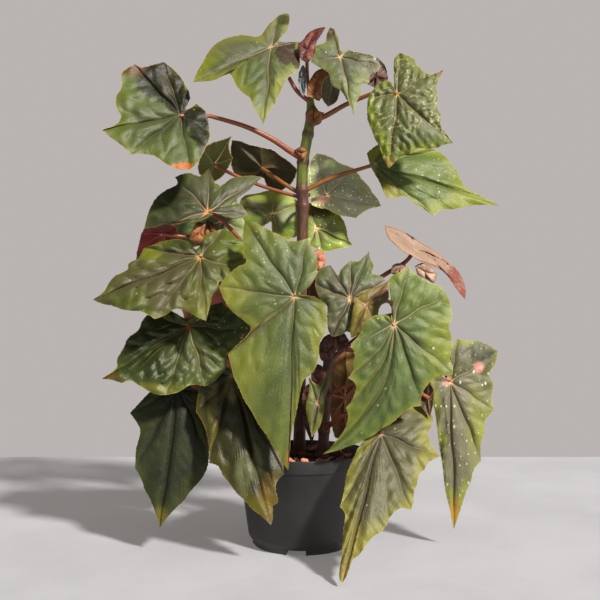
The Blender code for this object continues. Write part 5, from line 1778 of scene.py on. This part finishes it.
# %% Soil mass
POT_RIM_R = 65.0
POT_HEIGHT = 92.0
POT_BAND_H = 12.5
POT_BAND_STEP = 1.3
POT_BODY_FOOT_R = 53.2
POT_FOOT_R = 48.0
POT_FOOT_H = 10.0
POT_WALL = 1.5
CHANNEL_H = 5.0
SOIL_Z = 84.0
SOIL_LUMP = 1.6
SOIL_SIDES = 110
SOIL_RINGS = 34
SOIL_CLEAR = 0.5


def inner_radius(height):
    """The radius of the pot's inside at this height, over its chamfer and under its band."""
    top_r, top_z = POT_RIM_R - POT_BAND_STEP - POT_WALL - 0.6, POT_HEIGHT - POT_BAND_H - 2.0
    foot_r = POT_BODY_FOOT_R - POT_WALL
    return foot_r + (top_r - foot_r) * (height - POT_FOOT_H) / (top_z - POT_FOOT_H)


def soil_height(x, y):
    """The soil's lumpy top, as on its solid, with finer lumps."""
    waves = np.sin(x * 0.21 + 1.3) * np.cos(y * 0.17 - 0.4) + 0.6 * np.sin(x * 0.47 - y * 0.39)
    return SOIL_Z + SOIL_LUMP * waves + 0.8 * ripple(x, y, 6.0, 91) + 0.5 * ripple(x, y, 3.2, 92)


def turned_mesh(name, radii, heights, sides):
    """A solid turned round Z, with both ends closed. Radii and heights may differ from side to side."""
    angle = 2 * np.pi * np.arange(sides) / sides
    radii = np.broadcast_to(np.array(radii, float).reshape(len(radii), -1), (len(radii), sides))
    heights = np.broadcast_to(np.array(heights, float).reshape(len(heights), -1), (len(heights), sides))
    points = np.stack((radii * np.cos(angle), radii * np.sin(angle), heights), -1).reshape(-1, 3)
    ring = np.arange(len(radii) - 1)[:, None] * sides
    side = np.arange(sides)
    after = (side + 1) % sides
    quads = np.stack((ring + side, ring + after, ring + sides + after, ring + sides + side), -1).reshape(-1, 4)
    last = (len(radii) - 1) * sides
    faces = [tuple(side[::-1].tolist())] + [tuple(quad) for quad in quads.tolist()]
    faces.append(tuple((last + side).tolist()))
    mesh = bpy.data.meshes.new(name)
    mesh.from_pydata((points * MM).tolist(), [], faces)
    mesh.polygons.foreach_set("use_smooth", np.ones(len(faces), bool))
    return mesh


def soil_mesh():
    foot = CHANNEL_H + POT_WALL + SOIL_CLEAR
    edge = inner_radius(SOIL_Z - 6.0) - SOIL_CLEAR
    angle = 2 * np.pi * np.arange(SOIL_SIDES) / SOIL_SIDES
    radii = [POT_FOOT_R - POT_WALL, inner_radius(POT_FOOT_H) - SOIL_CLEAR, edge]
    heights = [np.full(SOIL_SIDES, foot), np.full(SOIL_SIDES, POT_FOOT_H + 2.0), np.full(SOIL_SIDES, SOIL_Z - 6.0)]
    for share in np.linspace(1.0, 0.02, SOIL_RINGS):
        radii.append(edge * share)
        heights.append(soil_height(edge * share * np.cos(angle), edge * share * np.sin(angle)))
    return turned_mesh("soil_mass", radii, np.array(heights), SOIL_SIDES)


# %% Crumbs
def crumb_rule():
    rule = Rule(
        "crumb_rule", Crumbs=("Float", 9.0), Smallest=("Float", 0.5), Largest=("Float", 2.2),
        Seed=("Int", 3), Finish=("Material", None), Length=("Float", 1.0), Flatness=("Float", 0.8),
    )
    normal = rule.add("GeometryNodeInputNormal").outputs[0]
    upward = Flow(rule, rule.add("ShaderNodeSeparateXYZ", None, Vector=normal).outputs["Z"])
    points = rule.add(
        "GeometryNodeDistributePointsOnFaces", None, Mesh=rule.given("Shape"),
        Selection=upward.calc("GREATER_THAN", 0.4), Density=rule.given("Crumbs") * 10000.0, Seed=rule.given("Seed"),
    )
    ball = rule.add("GeometryNodeMeshIcoSphere", None, Radius=MM, Subdivisions=2)
    rough = rule.vector("SUBTRACT", rule.add(
        "ShaderNodeTexNoise", None, Vector=rule.add("GeometryNodeInputPosition").outputs[0], Scale=900.0, Detail=1.0,
    ).outputs["Color"], (0.5, 0.5, 0.5))
    lump = rule.add(
        "GeometryNodeSetPosition", None, Geometry=ball.outputs[0], Offset=rule.vector("SCALE", rough, scale=1.6 * MM),
    )
    turn = rule.add(
        "FunctionNodeRandomValue", {"data_type": "FLOAT_VECTOR"}, Min=(0.0, 0.0, 0.0), Max=(6.28, 6.28, 6.28),
        Seed=rule.given("Seed"),
    )
    size = rule.add(
        "FunctionNodeRandomValue", {"data_type": "FLOAT"}, Min_001=0.0, Max_001=1.0, Seed=rule.given("Seed"),
    )
    chance = Flow(rule, next(socket for socket in size.outputs if socket.identifier == "Value_001"))
    grown = rule.given("Smallest") + chance.calc("POWER", 3.0) * (rule.given("Largest") - rule.given("Smallest"))
    stretch = rule.add(
        "ShaderNodeCombineXYZ", None, X=grown * rule.given("Length"), Y=grown, Z=grown * rule.given("Flatness"),
    )
    placed = rule.add(
        "GeometryNodeInstanceOnPoints", None, Points=points.outputs["Points"], Instance=lump.outputs[0],
        Rotation=turn.outputs[0], Scale=stretch.outputs[0],
    )
    rule.close(placed.outputs[0], rule.given("Finish"))
    return rule


# %% Soil finishes and pieces
def soil_finish():
    finish = Finish("dark_soil", Roughness=0.95)
    place = finish.place(1.0 / MM)
    clod = finish.noise(place, 0.35, 6.0, 0.65)
    grain = finish.noise(place, 2.0, 4.0, 0.7)
    colour = finish.mix(clod.step(0.35, 0.7), (0.012, 0.008, 0.006), (0.050, 0.030, 0.018))
    colour = finish.mix(grain.step(0.62, 0.75) * 0.6, colour, (0.13, 0.085, 0.055))
    return finish.feed(Base_Color=colour, Roughness=grain * 0.2 + 0.8, Normal=finish.bump(clod + grain, 0.0015))


def chip_finish():
    finish = Finish("bark_chip", Roughness=0.85)
    place = finish.place(1.0 / MM)
    fibre = finish.noise(place, 0.9, 5.0, 0.7)
    which = finish.noise(place, 0.12, 2.0)
    colour = finish.mix(which.step(0.4, 0.6), (0.060, 0.022, 0.012), (0.20, 0.075, 0.040))
    colour = finish.mix(fibre.step(0.5, 0.75) * 0.6, colour, (0.33, 0.16, 0.10))
    return finish.feed(Base_Color=colour, Roughness=fibre * 0.2 + 0.7, Normal=finish.bump(fibre, 0.0010))


SOIL_FINISH, CHIP_FINISH = soil_finish(), chip_finish()
SOIL_MESH = soil_mesh()
CRUMBS = crumb_rule()
crumbs = CRUMBS.grow("soil_crumbs", SOIL_MESH.copy(), Crumbs=12.0, Seed=4, Finish=SOIL_FINISH)
chips = CRUMBS.grow(
    "bark_chips", SOIL_MESH.copy(), Crumbs=1.3, Smallest=1.6, Largest=4.2, Length=1.5, Flatness=0.30, Seed=11,
    Finish=CHIP_FINISH,
)
SOIL_MESH.materials.append(SOIL_FINISH)
settle(place_mesh("soil_mass", SOIL_MESH), "soil", "potting_soil")
settle(crumbs, "soil")
settle(chips, "dry_leaf")

# %% [markdown]
# Dry scraps of fallen leaf lie curled on the soil. Each is a crumpled disc with a torn margin, closed and thin, resting
# where its solid rests.

# %% Dry scraps
SCRAPS = (
    ((22, -43), 10, 20, 0.30),
    ((6, -52), 9, 140, -0.20),
    ((33, -36), 9, 250, 0.25),
    ((-14, -46), 8, 60, 0.20),
    ((44, 8), 10, 320, -0.25),
    ((-40, 22), 11, 110, 0.20),
    ((10, 44), 10, 200, 0.20),
)
SCRAP_COLUMNS = 56
SCRAP_RINGS = 12
SCRAP_THICK = 0.45


def build_scrap(number, place, size, turn, tilt, finish):
    draw = np.random.default_rng(500 + number)
    angle = np.radians(turn) - 2 * np.pi * np.arange(SCRAP_COLUMNS) / SCRAP_COLUMNS
    torn = 0.80 + 0.12 * np.sin(3 * angle + draw.uniform(0, 6)) + 0.08 * np.sin(7 * angle) + draw.uniform(
        -0.05, 0.05, SCRAP_COLUMNS)
    share = np.linspace(0, 1, SCRAP_RINGS)
    radius = size * torn[:, None] * share
    x, y = radius * np.cos(angle)[:, None], radius * np.sin(angle)[:, None]
    curl = 2.4 * share**2 * np.cos(2 * angle + turn)[:, None] + 0.8 * share * ripple(x, y, 5.0, 600 + number)
    z = tilt * x + curl + 1.2
    ground = soil_height(place[0] + x, place[1] + y)
    z += (ground - z).max() - 1.0
    front = np.stack((place[0] + x, place[1] + y, z), -1)
    normal = grid_normals(front)
    normal = np.where(normal[..., 2:] < 0, -normal, normal)
    measures = {"rib_off": np.abs(y), "rib_along": x, "share": share[None, :], "edge_in": (1 - share)[None, :] * size}
    thick = np.full(front.shape[:2], SCRAP_THICK)
    flat = np.stack((x, y), -1)
    made = sheet_object(f"scrap_{number}", front, normal, thick, measures, flat, finish, finish)
    settle(made, "dry_leaf", f"dry_scrap_{number}")


RUSSET = dry_finish("russet_scrap", (0.26, 0.085, 0.045), (0.085, 0.028, 0.018))
for number, (place, size, turn, tilt) in enumerate(SCRAPS, start=1):
    build_scrap(number, place, size, turn, tilt, SALMON if number in (1, 2, 4) else RUSSET)

# %% [markdown]
# The pot is thin moulded plastic: a band round its rim, a tapered wall, a chamfered foot, and four shallow channels
# under it that lead to drain holes. It is turned from one profile, whose corners are rounded by short arcs, and the
# channels are cut with Booleans, as on its solid.

# %% Pot shape
POT_SIDES = 168
CHANNEL_COUNT = 4
CHANNEL_W = 19.0
CHANNEL_START_R = 20.0
CHANNEL_TURN = math.radians(-97.0)
DRAIN_R = 4.0
DRAIN_PLACE_R = 32.0
CORNER_STEPS = 4


def rounded(profile):
    """The profile (radius, height, corner radius) with each corner drawn as a short arc."""
    profile = np.array(profile, float)
    line = [profile[0, :2]]
    for before, corner, after in zip(profile, profile[1:], profile[2:]):
        place, size = corner[:2], corner[2]
        back, ahead = before[:2] - place, after[:2] - place
        start = place + back * min(size / np.hypot(*back), 0.45)
        end = place + ahead * min(size / np.hypot(*ahead), 0.45)
        for t in np.linspace(0, 1, CORNER_STEPS):
            line.append((1 - t) ** 2 * start + 2 * t * (1 - t) * place + t**2 * end)
    line.append(profile[-1, :2])
    return np.array(line)


def pot_profile():
    """Up the outside from the foot and down the inside."""
    band_z = POT_HEIGHT - POT_BAND_H
    body_top_r = POT_RIM_R - POT_BAND_STEP
    return rounded((
        (2.0, 0.0, 0.0), (POT_FOOT_R, 0.0, 1.0), (POT_FOOT_R + 1.6, 5.0, 0.6), (POT_BODY_FOOT_R, POT_FOOT_H, 1.5),
        (body_top_r - 0.6, band_z - 1.0, 0.5), (POT_RIM_R - 0.4, band_z, 0.4), (POT_RIM_R, POT_HEIGHT, 0.8),
        (POT_RIM_R - POT_WALL, POT_HEIGHT, 0.5), (body_top_r - POT_WALL - 0.6, band_z - 2.0, 0.5),
        (POT_BODY_FOOT_R - POT_WALL, POT_FOOT_H, 1.5), (POT_FOOT_R - POT_WALL, POT_WALL, 0.6), (2.0, POT_WALL, 0.0),
    ))


def radial_box(name, start, end, width, low, high, turn):
    """A box that lies along a radius of the pot."""
    out = np.array((math.cos(turn), math.sin(turn), 0.0))
    side = np.array((-out[1], out[0], 0.0)) * width / 2
    foot = np.array((out * start - side, out * end - side, out * end + side, out * start + side))
    points = np.vstack((foot + (0, 0, low), foot + (0, 0, high))) * MM
    mesh = bpy.data.meshes.new(name)
    mesh.from_pydata(points.tolist(), [], [
        (3, 2, 1, 0), (4, 5, 6, 7), (0, 1, 5, 4), (1, 2, 6, 5), (2, 3, 7, 6), (3, 0, 4, 7),
    ])
    return place_mesh(name, mesh)


def apply_boolean(target, tool, operation):
    """Joins the tool to the target or cuts it away, and removes it."""
    step = target.modifiers.new("shape", "BOOLEAN")
    step.operation, step.object, step.solver = operation, tool, "EXACT"
    graph = bpy.context.evaluated_depsgraph_get()
    result = bpy.data.meshes.new_from_object(target.evaluated_get(graph))
    target.modifiers.clear()
    target.data = result
    bpy.data.objects.remove(tool, do_unlink=True)


def pot_finish():
    """Matt black plastic with a fine moulded grain, faint scuffs and a little dust low down."""
    finish = Finish("black_plastic", Roughness=0.5)
    place, height = finish.place(1.0 / MM), finish.height()
    cloud = finish.noise(place, 0.035, 5.0)
    grain = finish.noise(place, 3.0, 2.0)
    scuff = finish.noise(finish.vector("MULTIPLY", place, (0.25, 0.25, 2.2)), 0.35, 5.0, 0.7)
    colour = finish.mix(cloud.step(0.3, 0.7), (0.0085, 0.0080, 0.0080), (0.0150, 0.0140, 0.0135))
    dust = (height + cloud * 14.0).step(22.0, 4.0) * 0.35 + scuff.step(0.64, 0.74) * 0.18
    colour = finish.mix(dust, colour, (0.060, 0.055, 0.050))
    return finish.feed(
        Base_Color=colour, Roughness=grain * 0.10 + cloud * 0.16 + 0.36,
        Normal=finish.bump(grain * 0.6 + scuff * 0.3, 0.0003, 0.6),
    )


def build_pot():
    profile = pot_profile()
    mesh = turned_mesh("pot_shell", profile[:, 0], profile[:, 1], POT_SIDES)
    pot = place_mesh("pot_shell", mesh)
    for index in range(CHANNEL_COUNT):
        turn = CHANNEL_TURN + 2 * math.pi * index / CHANNEL_COUNT
        apply_boolean(pot, radial_box(
            f"cover_{index}", CHANNEL_START_R - POT_WALL, POT_FOOT_R, CHANNEL_W + 2 * POT_WALL, 0.2,
            CHANNEL_H + POT_WALL, turn,
        ), "UNION")
    for index in range(CHANNEL_COUNT):
        turn = CHANNEL_TURN + 2 * math.pi * index / CHANNEL_COUNT
        apply_boolean(pot, radial_box(
            f"channel_{index}", CHANNEL_START_R, POT_RIM_R, CHANNEL_W, -POT_WALL, CHANNEL_H, turn,
        ), "DIFFERENCE")
        drain = turned_mesh(f"drain_{index}", (DRAIN_R, DRAIN_R), (-1.0, CHANNEL_H + 3 * POT_WALL), 40)
        centre = np.array((math.cos(turn), math.sin(turn), 0.0)) * DRAIN_PLACE_R * MM
        drain.transform(Matrix.Translation(centre))
        apply_boolean(pot, place_mesh(f"drain_{index}", drain), "DIFFERENCE")
    pot.data.materials.clear()
    pot.data.materials.append(pot_finish())
    pot.data.polygons.foreach_set("use_smooth", np.ones(len(pot.data.polygons), bool))
    pot.data.set_sharp_from_angle(angle=math.radians(38))
    settle(pot, "pot_plastic", "pot")


build_pot()

# %% [markdown]
# The floor is a plain pale slab that ends behind the plant, where the photograph's floor meets the wall. The wall
# itself is only a plain grey sky under a dark ceiling, so that the plant can be seen from behind. One warm light stands
# high on the right and in front, as the shadows say, a weak soft one fills them, and the floor glows a little.

# %% Floor, sky and light
FLOOR_SIDE = 3.0
FLOOR_BACK = 0.48
WALL = (0.487, 0.458, 0.443)
CEILING = (0.060, 0.057, 0.055)
CEILING_FROM_TO = (0.36, 0.55)
floor_mesh = bpy.data.meshes.new("floor")
floor_mesh.from_pydata(
    [(-FLOOR_SIDE, -FLOOR_SIDE, 0), (FLOOR_SIDE, -FLOOR_SIDE, 0), (FLOOR_SIDE, FLOOR_BACK, 0),
     (-FLOOR_SIDE, FLOOR_BACK, 0)], [], [(0, 1, 2, 3)],
)
floor = place_mesh("floor", floor_mesh)
paving = Finish("floor_finish", Roughness=0.85, Emission_Color=(0.140, 0.128, 0.118, 1.0), Emission_Strength=1.0)
floor_place = paving.place(1.0)
floor_tone = paving.noise(floor_place, 6.0, 8.0, 0.6)
floor_mesh.materials.append(paving.feed(
    Base_Color=paving.mix(floor_tone.step(0.3, 0.7), (0.275, 0.285, 0.315), (0.325, 0.336, 0.370)),
    Normal=paving.bump(paving.noise(floor_place, 60.0, 6.0), 0.001, 0.3),
))

world = bpy.data.worlds.new("studio")
world.use_nodes = True
sky = Nodes(world.node_tree)
direction = sky.add("ShaderNodeTexCoord").outputs["Generated"]
rise = Flow(sky, sky.add("ShaderNodeSeparateXYZ", None, Vector=direction).outputs["Z"])
sky.put(world.node_tree.nodes["Background"].inputs["Color"], sky.mix(rise.step(*CEILING_FROM_TO), WALL, CEILING))
bpy.context.scene.world = world
bpy.context.scene.view_settings.view_transform = "Standard"

LAMPS = {
    "key": (Vector((0.50, -0.62, 0.62)), 6.5, 6.0, (1.0, 0.95, 0.87)),
    "fill": (Vector((0.35, -0.45, 0.85)), 0.6, 70.0, (1.0, 0.97, 0.94)),
}
for name, (source, energy, spread, colour) in LAMPS.items():
    lamp = bpy.data.objects.new(name, bpy.data.lights.new(name, "SUN"))
    lamp.data.energy = energy
    lamp.data.angle = math.radians(spread)
    lamp.data.color = colour
    lamp.rotation_euler = source.to_track_quat("Z", "Y").to_euler()
    bpy.context.scene.collection.objects.link(lamp)
print("stage set")
